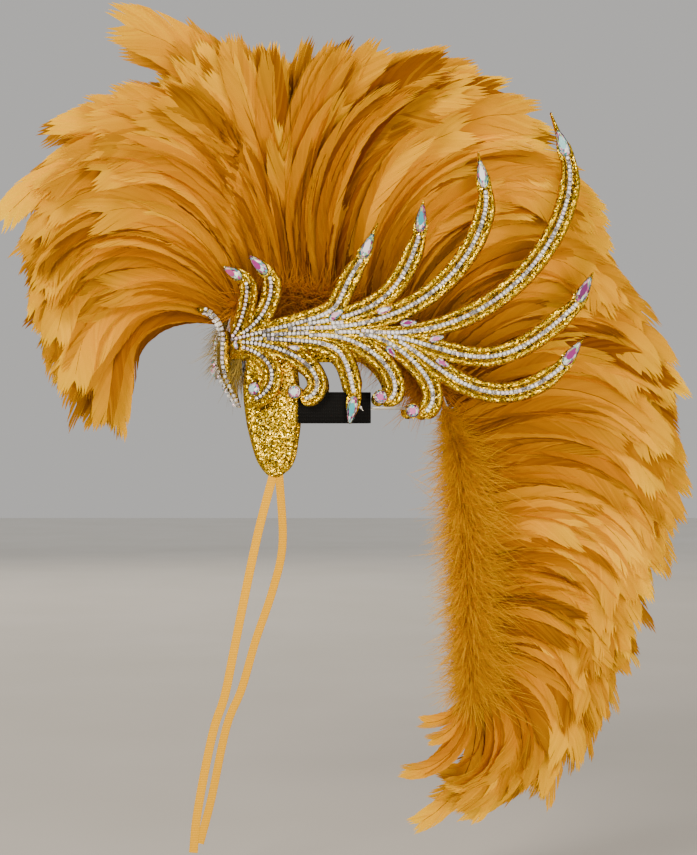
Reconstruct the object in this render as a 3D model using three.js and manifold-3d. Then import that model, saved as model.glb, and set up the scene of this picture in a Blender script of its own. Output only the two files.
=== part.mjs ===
// Carnival feather headdress: a band with cheek flaps, foam scroll wings set with
// stones, and a fan of cock feathers with a tail, on one curved carrier bar.
// Millimetres. The wearer faces -Y, their left is +X and +Z is up. The origin is the
// middle of the head opening, level with the tops of the ears.
import * as THREE from 'three';
import { mergeVertices } from 'three/addons/utils/BufferGeometryUtils.js';
import Module from 'manifold-3d';

const wasm = await Module();
wasm.setup();

// Sizes that can be set by themselves.
const headHalfWidth = 77;
const headHalfLength = 112;
const clearance = 0.3;
const bandWall = 3;
const bandHeight = 24;
const bandMiddle = 66;
const bandReach = THREE.MathUtils.degToRad(120);
const flapWall = 4;
const flapRim = 8;
const flapRimHeight = 2.5;
const tabWall = 2;
const tabHeight = 36;
const tabMiddle = -4;
const tabRear = 54;
const elasticThickness = 2.4;
const foamBase = 4;
const foamRidge = 5;
const foamWidth = 24;
const wingFlare = 34;
const wingReach = 300;
const wingStraight = -94;
const chainWidth = 6.4;
const chainThickness = 3;
const chainSeat = 1.1;
const pearLength = 30;
const pearWidth = 15;
const pearHeight = 7;
const roundWidth = 14;
const roundHeight = 6;
const spineWidth = 14;
const spineThickness = 4;
const spineParts = 28;
const tapeThickness = 3;
const featherThickness = 2.4;
const fanSplay = 96;
const fanReach = 200;
const fanEdge = 4;
const fanFacet = 140;
const boaCore = 9;
const boaTuft = 16;
const ribbonWidth = 10;
const ribbonThickness = 1;

const looks = {
  glitter: { color: 0xb8942a, roughness: 0.55, metalness: 0.4 },
  silver: { color: 0xc9c9cc, roughness: 0.25, metalness: 0.9 },
  stone: { color: 0xc6a8cf, roughness: 0.1, metalness: 0.2 },
  feather: { color: 0xcd8c19, roughness: 0.8, metalness: 0 },
  tape: { color: 0x9a6a18, roughness: 0.9, metalness: 0 },
  webbing: { color: 0x0c0c0d, roughness: 0.9, metalness: 0 },
  elastic: { color: 0xd8d8d4, roughness: 0.3, metalness: 0 },
  satin: { color: 0xd2aa28, roughness: 0.4, metalness: 0 },
};

// Angles in the side view: 0 points back (+Y), 90 up (+Z) and 180 to the front (-Y).
const heading = (degrees) => {
  const angle = THREE.MathUtils.degToRad(degrees);
  return new THREE.Vector2(Math.cos(angle), Math.sin(angle));
};
const mix = THREE.MathUtils.lerp;
const steps = (count) => Array.from({ length: count + 1 }, (_, i) => i / count);

// Solids. A loft joins rings of equal length and closes both ends.
function loft(rings) {
  const size = rings[0].length;
  const index = [];
  for (let i = 0; i < rings.length - 1; i++) {
    for (let j = 0; j < size; j++) {
      const a = i * size + j;
      const b = i * size + ((j + 1) % size);
      index.push(a, b, a + size, b, b + size, a + size);
    }
  }
  const last = (rings.length - 1) * size;
  for (let j = 1; j < size - 1; j++) index.push(0, j + 1, j, last, last + j, last + j + 1);
  const geometry = new THREE.BufferGeometry();
  const values = rings.flat().flatMap((point) => point.toArray());
  geometry.setAttribute('position', new THREE.Float32BufferAttribute(values, 3));
  geometry.setIndex(signedVolume(values, index) < 0 ? index.reverse() : index);
  return geometry;
}

function signedVolume(values, index) {
  const corner = (i) => new THREE.Vector3().fromArray(values, index[i] * 3);
  let volume = 0;
  for (let i = 0; i < index.length; i += 3) {
    volume += corner(i).dot(corner(i + 1).cross(corner(i + 2))) / 6;
  }
  return volume;
}

function solid(geometry) {
  const welded = mergeVertices(geometry.clone(), 1e-4);
  return new wasm.Manifold(new wasm.Mesh({
    numProp: 3,
    vertProperties: new Float32Array(welded.getAttribute('position').array),
    triVerts: new Uint32Array(welded.getIndex().array),
  }));
}

const join = (geometries) => geometries.map(solid).reduce((sum, next) => sum.add(next));

// Cuts can leave slivers: the largest body is the piece.
function largest(body) {
  return body.decompose().reduce((best, next) => (next.volume() > best.volume() ? next : best));
}

function geometryOf(body, tolerance = 0.05) {
  const mesh = largest(largest(body).simplify(tolerance)).getMesh();
  const geometry = new THREE.BufferGeometry();
  geometry.setAttribute('position', new THREE.Float32BufferAttribute(mesh.vertProperties, 3));
  geometry.setIndex(Array.from(mesh.triVerts));
  geometry.computeVertexNormals();
  return geometry;
}

function mirrored(geometry) {
  const other = geometry.clone().scale(-1, 1, 1);
  other.setIndex(Array.from(geometry.getIndex().array).reverse());
  other.computeVertexNormals();
  return other;
}

const group = new THREE.Group();
group.name = 'feather_headdress';
function place(name, geometry, look) {
  const mesh = new THREE.Mesh(geometry, new THREE.MeshStandardMaterial(looks[look]));
  mesh.name = name;
  group.add(mesh);
}
function placePair(name, geometry, look) {
  place(`${name}_left`, geometry, look);
  place(`${name}_right`, mirrored(geometry), look);
}

// The shell is the head's oval in plan, pushed out by `out`. The wings leave it at both
// ends: straight on in front, and with a flare behind the middle of the head.
function shell(y, z, out, flared = false) {
  const a = headHalfWidth + out;
  const b = headHalfLength + out;
  if (flared && y < wingStraight) {
    const start = shell(wingStraight, z, out);
    const slope = -start.normal.y / start.normal.x;
    start.point.add(new THREE.Vector3((y - wingStraight) * slope, y - wingStraight, 0));
    return start;
  }
  if (flared && y > 0) {
    const slope = (wingFlare / wingReach) * 1.5 * Math.sqrt(y / wingReach);
    const x = a + wingFlare * (y / wingReach) ** 1.5;
    return { point: new THREE.Vector3(x, y, z), normal: new THREE.Vector3(1, -slope, 0).normalize() };
  }
  const x = a * Math.sqrt(Math.max(1 - (y / b) ** 2, 0.002));
  return {
    point: new THREE.Vector3(x, y, z),
    normal: new THREE.Vector3(x / a ** 2, y / b ** 2, 0).normalize(),
  };
}

// Flat work in the side view: outlines are joined and cut as flat shapes, raised, and
// then bent onto the flared shell `lift` above the head's oval.
function ribbonOutline(line, width) {
  const sides = [[], []];
  line.forEach((point, i) => {
    const before = line[Math.max(i - 1, 0)];
    const after = line[Math.min(i + 1, line.length - 1)];
    const along = after.clone().sub(before).normalize();
    const half = width(i / (line.length - 1)) / 2;
    sides[0].push([point.x - along.y * half, point.y + along.x * half]);
    sides[1].unshift([point.x + along.y * half, point.y - along.x * half]);
  });
  return new wasm.CrossSection([[...sides[0], ...sides[1]]], 'NonZero');
}
const flatUnion = (shapes) => shapes.reduce((sum, next) => sum.add(next));
const raise = (shape, low, high) => shape.extrude(high - low).translate([0, 0, low]);
const bend = (body, lift) => body.warp((v) => {
  const { x } = shell(v[0], v[1], lift + v[2], true).point;
  [v[0], v[1], v[2]] = [x, v[0], v[1]];
});
const slab = (width, low, high) => [
  [-width / 2, low], [width / 2, low], [width / 2, high], [-width / 2, high],
];

// Wing scrolls. Each row runs from the hub (`from`, leaving at `leave` degrees) to the
// end of its chain (`to`, arriving at `arrive`). The pulls are the curve's two handles
// and `turn` bends the tip stone away from the strip. Places are [y, z].
const scrolls = [
  { from: [-108, 80], leave: 12, pull: 8, to: [-92, 146], arrive: 122, push: 18, turn: 26, spike: 0 },
  { from: [-108, 77], leave: 20, pull: 50, to: [-64, 150], arrive: 126, push: 14, turn: 8, spike: 3 },
  { from: [-109, 76], leave: 12, pull: 165, to: [43, 166], arrive: 54, push: 80, turn: 12, spike: 13 },
  { from: [-105, 78], leave: 12, pull: 126, to: [110, 196], arrive: 74, push: 116, turn: 10, spike: 6 },
  { from: [-10, 88], leave: 0, pull: 160, to: [184, 246], arrive: 108, push: 36, turn: -8, spike: 10 },
  { from: [43, 85], leave: -9, pull: 158, to: [277, 280], arrive: 106, push: 78, turn: 4, spike: 22 },
  { from: [17, 83], leave: 2, pull: 134, to: [288, 114], arrive: 45, push: 166, turn: 18, spike: 6 },
  { from: [54, 80], leave: 14, pull: 52, to: [272, 43], arrive: 42, push: 135, turn: 12, spike: 6 },
  { from: [-66, 76], leave: -4, pull: 84, to: [35, 10], arrive: -78, push: 66, turn: -22, spike: 3 },
  { from: [-109, 71], leave: -12, pull: 78, to: [-86, 6], arrive: 176, push: 24, round: [-81, 18] },
  { from: [-105, 74], leave: -4, pull: 102, to: [-27, 5], arrive: 188, push: 38, round: [-34, 14] },
  { from: [-17, 79], leave: 6, pull: 77, to: [70, 3], arrive: 196, push: 36, round: [65, 8] },
  { from: [47, 79], leave: 10, pull: 26, to: [111, -13], arrive: 210, push: 55, round: [102, -8] },
];

function chainLine(row) {
  const from = new THREE.Vector2(...row.from);
  const to = new THREE.Vector2(...row.to);
  const curve = new THREE.CubicBezierCurve(
    from, from.clone().addScaledVector(heading(row.leave), row.pull),
    to.clone().addScaledVector(heading(row.arrive), -row.push), to,
  );
  const count = Math.max(6, Math.round(curve.getLength() / 44));
  return curve.getSpacedPoints(count);
}

// Cut stones: the outline is a point at one end and round at the other, with a table.
function outlineOf(length, width, sides) {
  return steps(sides - 1).map((_, i) => {
    const angle = (2 * Math.PI * i) / sides;
    const lean = 1 - 0.25 * (1 + Math.cos(angle)) * (length > width ? 1 : 0);
    return [(width / 2) * Math.sin(angle) * lean, (length / 2) * Math.cos(angle)];
  });
}

function stone(centre, direction, lift, size) {
  const { length, width, height, sides } = size;
  const { point, normal } = shell(centre.x, centre.y, lift, true);
  const ahead = shell(centre.x + direction.x, centre.y + direction.y, lift, true).point;
  const along = ahead.sub(point).normalize();
  const across = new THREE.Vector3().crossVectors(normal, along).normalize();
  const levels = [[0.94, 0], [1, 0.35], [0.62, 1]];
  return loft(levels.map(([scale, level]) => outlineOf(length, width, sides).map(([side, on]) => (
    point.clone().addScaledVector(across, side * scale).addScaledVector(along, on * scale)
      .addScaledVector(normal, level * height)))));
}

const wingLift = flapWall + clearance;
const ridgeTop = foamBase + foamRidge;
const turned = (shape, centre, angle) => shape.rotate(angle - 90).translate(centre.toArray());
const stoneShape = (length, width, sides) => (
  new wasm.CrossSection([outlineOf(length, width, sides)], 'NonZero'));

const foams = [];
const chains = [];
const cuts = [];
const pads = [];
scrolls.forEach((row, number) => {
  const line = chainLine(row);
  const end = line[line.length - 1];
  foams.push(ribbonOutline(line, (share) => foamWidth * Math.min(1, 0.5 + 1.5 * share)));
  chains.push(ribbonOutline(line, () => chainWidth));
  cuts.push(ribbonOutline(line, () => chainWidth + 2 * clearance));
  if (row.round) {
    const centre = new THREE.Vector2(...row.round);
    const size = { length: roundWidth, width: roundWidth, height: roundHeight, sides: 8 };
    pads.push(turned(stoneShape(roundWidth + 2, roundWidth + 2, 8), centre, 90));
    placePair(`round_stone_${number - 8}`, geometryOf(solid(
      stone(centre, heading(90), wingLift + ridgeTop + 2 * clearance, size))), 'stone');
    return;
  }
  const angle = row.arrive + row.turn;
  const out = heading(angle);
  const centre = end.clone().addScaledVector(out, pearLength / 2 + 2);
  const reach = pearLength + 3 + row.spike;
  const under = [-6, reach * 0.5, reach].map((d) => end.clone().addScaledVector(out, d));
  foams.push(ribbonOutline(under, (share) => mix(pearWidth, 2, share ** 2)));
  const size = { length: pearLength, width: pearWidth, height: pearHeight, sides: 8 };
  cuts.push(turned(stoneShape(pearLength + 1, pearWidth + 1, 8), centre, angle));
  placePair(`pear_stone_${number + 1}`, geometryOf(solid(
    stone(centre, out, wingLift + foamBase + clearance, size))), 'stone');
});

// Small stones where two scrolls part, fused to the chains. Places are [y, z].
const crotchStones = [
  { at: [-103, 70], angle: 100, length: 11 },
  { at: [-35, 65], angle: 170, length: 14 },
  { at: [14, 103], angle: 35, length: 19 },
  { at: [69, 108], angle: 15, length: 18 },
  { at: [97, 93], angle: 5, length: 18 },
  { at: [129, 75], angle: 15, length: 17 },
  { at: [136, 47], angle: -30, length: 17 },
  { at: [77, 60], angle: -50, length: 16 },
];
const setStones = crotchStones.map(({ at, angle, length }) => {
  const centre = new THREE.Vector2(...at);
  const shape = stoneShape(length, length * 0.55, 8);
  cuts.push(turned(stoneShape(length + 1, length * 0.55 + 1, 8), centre, angle));
  return shape.extrude(chainThickness + 2, 0, 0, [0.6, 0.6]).rotate([0, 0, angle - 90])
    .translate([...at, foamBase + chainSeat]);
});
const floor = flatUnion(foams).simplify(1);
const seats = flatUnion(cuts).subtract(flatUnion(pads)).offset(clearance, 'Miter').simplify(0.15);
const ridges = flatUnion(foams.concat(pads)).offset(-0.6, 'Miter').simplify(1.6).subtract(seats);
const padded = raise(floor, 0, foamBase).add(raise(flatUnion(pads), 0, ridgeTop + clearance));
const wingBody = bend(padded.add(raise(ridges, foamBase, ridgeTop)), wingLift);
const chainField = setStones.reduce(
  (sum, next) => sum.add(next),
  raise(flatUnion(chains).subtract(flatUnion(pads).offset(clearance, 'Square')).simplify(0.2),
    foamBase + chainSeat, foamBase + chainSeat + chainThickness));
const chainBody = bend(chainField, wingLift).simplify(0.1);
placePair('wing_chains', geometryOf(chainBody), 'silver');

// Band and flaps, both on the shell. A wall is a grid of columns along the shell.
function wall(columns, thickness) {
  return loft(columns.map(({ y, low, high, grow = 0, flip = 1 }) => {
    const inner = shell(y, 0, -grow);
    const outer = shell(y, 0, thickness + grow);
    const corner = (at, z) => new THREE.Vector3(at.x * flip, at.y, z);
    return [
      corner(inner.point, low - grow), corner(outer.point, low - grow),
      corner(outer.point, high + grow), corner(inner.point, high + grow),
    ];
  }));
}

const bandLow = bandMiddle - bandHeight / 2;
const bandHigh = bandMiddle + bandHeight / 2;
const bandRing = (grow) => loft(steps(22).map((share) => {
  const angle = mix(-bandReach, bandReach, share);
  const ring = (out) => new THREE.Vector2(
    (headHalfWidth + out) * Math.sin(angle), -(headHalfLength + out) * Math.cos(angle));
  const inner = ring(-grow);
  const outer = ring(bandWall + grow);
  return [
    new THREE.Vector3(inner.x, inner.y, bandLow - grow),
    new THREE.Vector3(outer.x, outer.y, bandLow - grow),
    new THREE.Vector3(outer.x, outer.y, bandHigh + grow),
    new THREE.Vector3(inner.x, inner.y, bandHigh + grow),
  ];
}));
place('front_band', geometryOf(solid(bandRing(0))), 'glitter');
const wing = wingBody.subtract(solid(bandRing(clearance)));
placePair('wing', geometryOf(wing, 0.25), 'glitter');

// Cheek flap: its two edges by height, with a raised rim and a middle ridge.
const flapRows = [
  { z: bandLow - clearance, front: -92, back: -36 },
  { z: 20, front: -96, back: -32 },
  { z: -20, front: -92, back: -31 },
  { z: -45, front: -86, back: -34 },
  { z: -66, front: -79, back: -38 },
  { z: -79, front: -70, back: -45 },
  { z: -85, front: -63, back: -53 },
];
function flapSolid(inset, low, high, rows = flapRows) {
  return loft(rows.map(({ z, front, back }) => {
    const edges = steps(4).map((share) => mix(front + inset, back - inset, share));
    const skin = (out) => edges.map((y) => shell(y, z, out).point);
    return [...skin(low), ...skin(high).reverse()];
  }));
}
const flapInner = flapRows.map(({ z, front, back }) => (
  { z: Math.max(z, -76), front: front + flapRim, back: back - flapRim }))
  .filter(({ front, back }) => front < back - 4);
const flapRidge = flapInner.map(({ z, front, back }) => ({
  z: Math.max(z, -62), front: mix(front, back, 0.25), back: mix(front, back, 0.75),
}));
const flapBody = solid(flapSolid(0, 0, flapWall + flapRimHeight))
  .subtract(solid(flapSolid(0, flapWall, flapWall + 9, flapInner)))
  .add(solid(flapSolid(0, 1, flapWall + flapRimHeight, flapRidge)));
const wingRoom = bend(raise(flatUnion(foams.concat(pads)).offset(1, 'Miter'), -clearance, 20), wingLift);
const flap = flapBody.subtract(wingRoom).subtract(wing.translate([-2 * clearance, 0, 0])).simplify(0.3);
placePair('cheek_flap', geometryOf(flap), 'glitter');

// Webbing tab behind each flap, square at its rear end.
const tabColumns = steps(8).map((share) => ({
  y: mix(flapRows[2].back - 4, tabRear, share),
  low: tabMiddle - tabHeight / 2,
  high: tabMiddle + tabHeight / 2,
}));
const flapRoom = flapSolid(-clearance, -1, flapWall + 9);
placePair('back_tab', geometryOf(solid(wall(tabColumns, tabWall)).subtract(solid(flapRoom))), 'webbing');

// Routes of the carrier bar and the cords: places are [y, z] or [x, y, z].
const spineRoute = [
  [-112, bandHigh + clearance], [-113, 100], [-94, 118], [-45, 127], [10, 119], [70, 94],
  [116, 50], [141, 5], [158, -55], [167, -140], [172, -225], [175, -345],
];
const spineCurve = new THREE.CatmullRomCurve3(
  spineRoute.map(([y, z]) => new THREE.Vector3(0, y, z)), false, 'centripetal');

// Strips along a route in the middle plane: `push` moves it out of the bar's arc.
function frameAt(curve, share) {
  const point = curve.getPointAt(share);
  const along = curve.getTangentAt(share);
  const outward = new THREE.Vector3(0, -along.z, along.y);
  return { point, along, outward };
}
function bar(curve, from, to, count, section) {
  return loft(steps(count).map((share) => {
    const { point, outward } = frameAt(curve, mix(from, to, share));
    return section(share).map(([side, out]) => point.clone()
      .add(new THREE.Vector3(side, 0, 0)).addScaledVector(outward, out));
  }));
}
place('crest_spine', geometryOf(solid(bar(spineCurve, 0, 1, spineParts,
  () => slab(spineWidth, -spineThickness / 2, spineThickness / 2)))), 'tape');

const tapeLow = spineThickness / 2 + clearance;

// Feathers by station. `along` is the root's share of the bar, `start` the heading at
// the root, `turn` how far it bends to its tip.
const stations = [
  { along: 0.028, start: 163, turn: 106, length: 245, width: 40 },
  { along: 0.038, start: 120, turn: 146, length: 324, width: 44 },
  { along: 0.052, start: 98, turn: 165, length: 350, width: 46 },
  { along: 0.07, start: 92, turn: 150, length: 385, width: 46 },
  { along: 0.09, start: 82, turn: 152, length: 410, width: 48 },
  { along: 0.115, start: 79, turn: 138, length: 398, width: 50 },
  { along: 0.14, start: 83, turn: 70, length: 404, width: 50 },
  { along: 0.18, start: 117, turn: -110, length: 376, width: 52 },
  { along: 0.23, start: 107, turn: -112, length: 412, width: 54 },
  { along: 0.3, start: 98, turn: -146, length: 412, width: 54 },
  { along: 0.38, start: 90, turn: -150, length: 354, width: 54 },
  { along: 0.46, start: 62, turn: -135, length: 350, width: 52 },
  { along: 0.54, start: 36, turn: -103, length: 334, width: 50 },
  { along: 0.63, start: 27, turn: -80, length: 306, width: 50 },
  { along: 0.75, start: 31, turn: -115, length: 300, width: 48 },
  { along: 0.86, start: 33, turn: -112, length: 276, width: 46 },
  { along: 0.94, start: 11, turn: -118, length: 242, width: 44 },
  { along: 0.985, start: -30, turn: -165, length: 224, width: 42 },
];
const vane = [
  { at: 0, wide: 0.2 }, { at: 0.35, wide: 1.3 }, { at: 0.75, wide: 1.6 }, { at: 0.93, wide: 1 },
  { at: 1, wide: 0.2 },
];
const vaneWidth = (share) => {
  const next = Math.max(1, vane.findIndex(({ at }) => at >= share - 1e-6));
  const [low, high] = [vane[next - 1], vane[next]];
  return mix(low.wide, high.wide, (share - low.at) / (high.at - low.at));
};
function featherOutline({ along, start, turn, length, width }, lean) {
  const parts = 8;
  const { point, outward } = frameAt(spineCurve, along);
  const root = point.addScaledVector(outward, tapeLow + tapeThickness / 2);
  const line = [new THREE.Vector2(root.y, root.z)];
  for (let i = 0; i < parts; i++) {
    const way = heading(start + lean + turn * (i / parts));
    line.push(line[i].clone().addScaledVector(way, length / parts));
  }
  return ribbonOutline(line, (share) => width * vaneWidth(share));
}

// A plume is a few fans of feathers side by side, sewn to one tape. A fan is flat work
// that opens outwards from the middle plane, the more the farther it is from the bar.
const spineLine = spineCurve.getSpacedPoints(120).map(({ y, z }) => new THREE.Vector2(y, z));
const opening = (y, z) => {
  const gap = Math.min(...spineLine.map((point) => Math.hypot(point.x - y, point.y - z)));
  return 1 - Math.exp(-((gap / fanReach) ** 1.5));
};
const threeFans = [
  { root: -5.6, splay: -fanSplay, lean: -4 }, { root: 0, splay: 0, lean: 3 },
  { root: 5.6, splay: fanSplay, lean: -4 },
];
const twoFans = [
  { root: -2.8, splay: -fanSplay * 0.8, lean: 1 }, { root: 2.8, splay: fanSplay * 0.8, lean: 1 },
];
const plumes = [
  { name: 'plume_front', first: 0, last: 6, from: 0.022, to: 0.158, fans: threeFans },
  { name: 'plume_top', first: 7, last: 9, from: 0.162, to: 0.338, fans: twoFans },
  { name: 'plume_back', first: 10, last: 12, from: 0.342, to: 0.582, fans: threeFans },
  { name: 'plume_tail', first: 13, last: 17, from: 0.586, to: 1, fans: twoFans },
];
const spineRoom = solid(bar(spineCurve, 0, 1, spineParts, () => slab(spineWidth + 1, -tapeLow, tapeLow)));
plumes.forEach(({ name, first, last, from, to, fans }) => {
  const tape = solid(bar(spineCurve, from, to, 6, () => slab(spineWidth, tapeLow, tapeLow + tapeThickness)));
  const plume = fans.reduce((sum, { root, splay, lean }) => {
    const feathers = stations.slice(first, last + 1).map((row) => featherOutline(row, lean));
    const flat = flatUnion(feathers).simplify(fanEdge);
    const fan = raise(flat, -featherThickness / 2, featherThickness / 2).refineToLength(fanFacet);
    return sum.add(fan.warp((v) => {
      [v[0], v[1], v[2]] = [root + splay * opening(v[0], v[1]) + v[2], v[0], v[1]];
    }));
  }, tape);
  place(name, geometryOf(plume.subtract(spineRoom), 0.2), 'feather');
});

// Marabou down the inside of the tail: a core with twisted tufts.
const boaTop = 0.56;
const boaOffset = -(spineThickness / 2 + clearance + boaTuft);
const boa = bar(spineCurve, boaTop, 1, 16, (share) => steps(9).map((_, i) => {
  const angle = (Math.PI * i) / 5 + share * 4;
  const radius = (i % 2 ? boaCore : boaTuft) * Math.min(1, 0.6 + 4 * share * (1 - share));
  return [radius * Math.cos(angle), boaOffset + radius * Math.sin(angle)];
}));
place('marabou_boa', geometryOf(solid(boa)), 'feather');

// Brow motif in front of the band, by height: half its width and where its back lies.
const motif = [
  { z: -3, half: 1.5, back: -101, wall: 4 },
  { z: 14, half: 8, back: -106, wall: 9 },
  { z: 32, half: 15, back: -113, wall: 11 },
  { z: 50, half: 18, back: -116.4, wall: 12 },
  { z: 68, half: 17, back: -116.4, wall: 12 },
  { z: 88, half: 15, back: -116.4, wall: 10 },
];
const motifPlate = loft(motif.map(({ z, half, back, wall: deep }) => [
  [-half, 0], [-half * 0.5, 0], [half * 0.5, 0], [half, 0], [half, -deep * 0.6],
  [half * 0.6, -deep], [-half * 0.6, -deep], [-half, -deep * 0.6],
].map(([x, out]) => new THREE.Vector3(x, back + out + (x / 40) ** 2 * 14, z))));
const curl = (flip) => {
  const curve = new THREE.CatmullRomCurve3([
    [11, -121, 78], [15, -124, 94], [19, -132, 106], [24, -142, 113], [28, -150, 112],
  ].map(([x, y, z]) => new THREE.Vector3(x * flip, y, z)));
  return loft(steps(5).map((share) => {
    const point = curve.getPointAt(share);
    const along = curve.getTangentAt(share);
    const across = new THREE.Vector3(1, 0, 0).addScaledVector(along, -along.x).normalize();
    const up = new THREE.Vector3().crossVectors(across, along).normalize();
    const half = mix(6, 3, share);
    return [[-half, -3], [half, -3], [half, 3], [-half, 3]].map(([u, v]) => (
      point.clone().addScaledVector(across, u).addScaledVector(up, v)));
  }));
};
const motifFoam = join([motifPlate, curl(1), curl(-1)]);
const motifFront = (z) => {
  const next = motif.findIndex((row) => row.z >= z);
  const [low, high] = [motif[next - 1], motif[next]];
  const face = (row) => row.back - row.wall;
  return mix(face(low), face(high), (z - low.z) / (high.z - low.z));
};
function browStone(x, z, length, width, height, lift) {
  const levels = [[0.94, 0], [1, 0.35], [0.62, 1]];
  return loft(levels.map(([scale, level]) => outlineOf(length, width, 8).map(([side, on]) => (
    new THREE.Vector3(x + side * scale, motifFront(z) - lift - level * height, z + on * scale)))));
}
const browChain = (flip, grow, depth) => loft(motif.map(({ z, half, back, wall: deep }) => {
  const x = Math.max(half - 5, 0.6) * flip;
  const y = back - deep;
  const w = 2.6 + grow;
  return [[-w, 1 + grow], [w, 1 + grow], [w, -depth], [-w, -depth]].map(([u, v]) => (
    new THREE.Vector3(x + u, y + v, z + (z > 80 ? -4 : 6) + (z < 0 ? -2 : 0))));
}));
const browPads = join([
  browStone(0, 46, 26, 18, 3, -1), browStone(0, 74, 12, 10, 3, -1), browStone(0, 20, 10, 8, 3, -1)]);
const browChains = join([browChain(1, 0, 2.4), browChain(-1, 0, 2.4)]);
const browCut = join([browChain(1, clearance, 12), browChain(-1, clearance, 12)]);
place('front_ornament', geometryOf(motifFoam.add(browPads).subtract(browCut)), 'glitter');
place('front_chains', geometryOf(browChains), 'silver');
const browStones = [
  { name: 'front_stone_pear', z: 46, length: 28, width: 17, height: 8 },
  { name: 'front_stone_top', z: 74, length: 11, width: 9, height: 5 },
  { name: 'front_stone_point', z: 20, length: 9, width: 7, height: 4 },
];
browStones.forEach(({ name, z, length, width, height }) => {
  place(name, geometryOf(solid(browStone(0, z, length, width, height, 2 + clearance))), 'stone');
});

// Satin tie ribbons from the flaps' points: the left one is the photo's near one.
const leftRibbon = [
  [68, -59, -80], [69, -76, -145], [69, -91, -215], [68, -105, -285],
  [66, -117, -343], [64, -128, -375], [62, -149, -482], [61, -153, -523],
];
const rightRibbon = [
  [-68, -58, -80], [-69, -54, -176], [-68, -66, -229], [-66, -87, -291],
  [-63, -105, -353], [-60, -120, -388], [-58, -142, -489], [-57, -155, -539],
];
function ribbon(route, count) {
  const curve = new THREE.CatmullRomCurve3(route.map((p) => new THREE.Vector3(...p)), false, 'centripetal');
  return loft(steps(count).map((share) => {
    const point = curve.getPointAt(share);
    const along = curve.getTangentAt(share);
    const across = new THREE.Vector3(0, -along.z, along.y).normalize();
    const facing = new THREE.Vector3().crossVectors(across, along).normalize();
    const [w, t] = [ribbonWidth / 2, ribbonThickness / 2];
    return [[-w, -t], [w, -t], [w, t], [-w, t]].map(([u, v]) => (
      point.clone().addScaledVector(across, u).addScaledVector(facing, v)));
  }));
}
place('ribbon_left', geometryOf(solid(ribbon(leftRibbon, 16)).subtract(flap)), 'satin');
place('ribbon_right', geometryOf(solid(ribbon(rightRibbon, 16))
  .subtract(solid(mirrored(geometryOf(flap))))), 'satin');

// Clear elastic round the back of the head, from tab to tab.
const elasticRoute = steps(8).map((share) => {
  const angle = mix(1, -1, share) * 1.06;
  return new THREE.Vector3(
    (headHalfWidth + 1) * Math.sin(angle), (headHalfLength + 1) * Math.cos(angle), tabMiddle);
});
const elasticCurve = new THREE.CatmullRomCurve3(elasticRoute);
const elastic = loft(steps(14).map((share) => {
  const point = elasticCurve.getPointAt(share);
  const along = elasticCurve.getTangentAt(share);
  const outward = new THREE.Vector3(-along.y, along.x, 0).normalize();
  return steps(5).map((_, i) => {
    const angle = (Math.PI * i) / 3;
    const radius = elasticThickness / 2;
    return point.clone().addScaledVector(outward, radius * Math.cos(angle))
      .add(new THREE.Vector3(0, 0, radius * Math.sin(angle)));
  });
}));
place('back_elastic', geometryOf(solid(elastic)), 'elastic');

export default group;
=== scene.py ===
# Carnival feather headdress: finishes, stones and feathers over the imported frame.
# Tables are in millimetres and degrees, as the thing is measured, and finished meshes in metres.
import math
import bpy
import bmesh
import numpy as np
from mathutils import Matrix, Vector


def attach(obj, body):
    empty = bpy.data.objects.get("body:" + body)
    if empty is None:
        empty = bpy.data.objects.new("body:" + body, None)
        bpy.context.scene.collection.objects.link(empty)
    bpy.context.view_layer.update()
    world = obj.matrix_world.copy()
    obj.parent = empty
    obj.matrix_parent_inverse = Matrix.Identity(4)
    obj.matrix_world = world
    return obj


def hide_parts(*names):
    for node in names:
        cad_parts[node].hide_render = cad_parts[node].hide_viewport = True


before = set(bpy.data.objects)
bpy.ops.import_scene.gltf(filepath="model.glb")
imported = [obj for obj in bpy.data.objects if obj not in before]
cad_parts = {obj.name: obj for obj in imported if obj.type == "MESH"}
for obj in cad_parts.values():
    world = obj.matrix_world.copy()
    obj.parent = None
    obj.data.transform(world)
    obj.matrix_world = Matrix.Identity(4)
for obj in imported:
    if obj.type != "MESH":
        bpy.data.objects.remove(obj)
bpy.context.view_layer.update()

mm = 0.001
sides = ((1, "left"), (-1, "right"))  # the wearer's
multiply = {"data_type": "RGBA", "blend_type": "MULTIPLY"}  # settings of a colour mix
print("frame loaded:", len(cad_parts), "nodes")

# Camera and studio
studio = {
    "camera": (2.2, 0.028, -0.027), "lens": 77.19, "floorLevel": -0.58, "floorHalf": 9,
    "worldColour": "#dddbd8", "worldStrength": 0.7, "lampColour": "#fff2de",
}
lamps = [  # place and aim in metres, size, watts
    {"name": "keyLight", "place": (2.3, -1.5, 1.7), "aim": (0, -0.1, 0.1), "size": 1.2, "watts": 110},
    {"name": "fillLight", "place": (2.5, 0.7, -0.45), "aim": (0, 0.3, -0.32), "size": 1.2, "watts": 138},
    {"name": "topLight", "place": (-0.5, 0.1, 2.3), "aim": (0, 0, 0), "size": 1.2, "watts": 30},
    {"name": "farLight", "place": (-4.2, -1.2, 2.4), "aim": (0, 0, 0), "size": 2.6, "watts": 90},
]


def newObject(name, data):
    made = bpy.data.objects.new(name, data)
    bpy.context.scene.collection.objects.link(made)
    return made


def linearOf(hexColour):
    values = [int(hexColour[i:i + 2], 16) / 255 for i in (1, 3, 5)]
    return [v / 12.92 if v <= 0.04045 else ((v + 0.055) / 1.055) ** 2.4 for v in values] + [1]


def newMaterial(name, sockets):
    material = bpy.data.materials.new(name)
    material.use_nodes = True
    shader = material.node_tree.nodes["Principled BSDF"]
    for socket, value in sockets.items():
        shader.inputs[socket].default_value = linearOf(value) if isinstance(value, str) else value
    return material, shader


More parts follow.
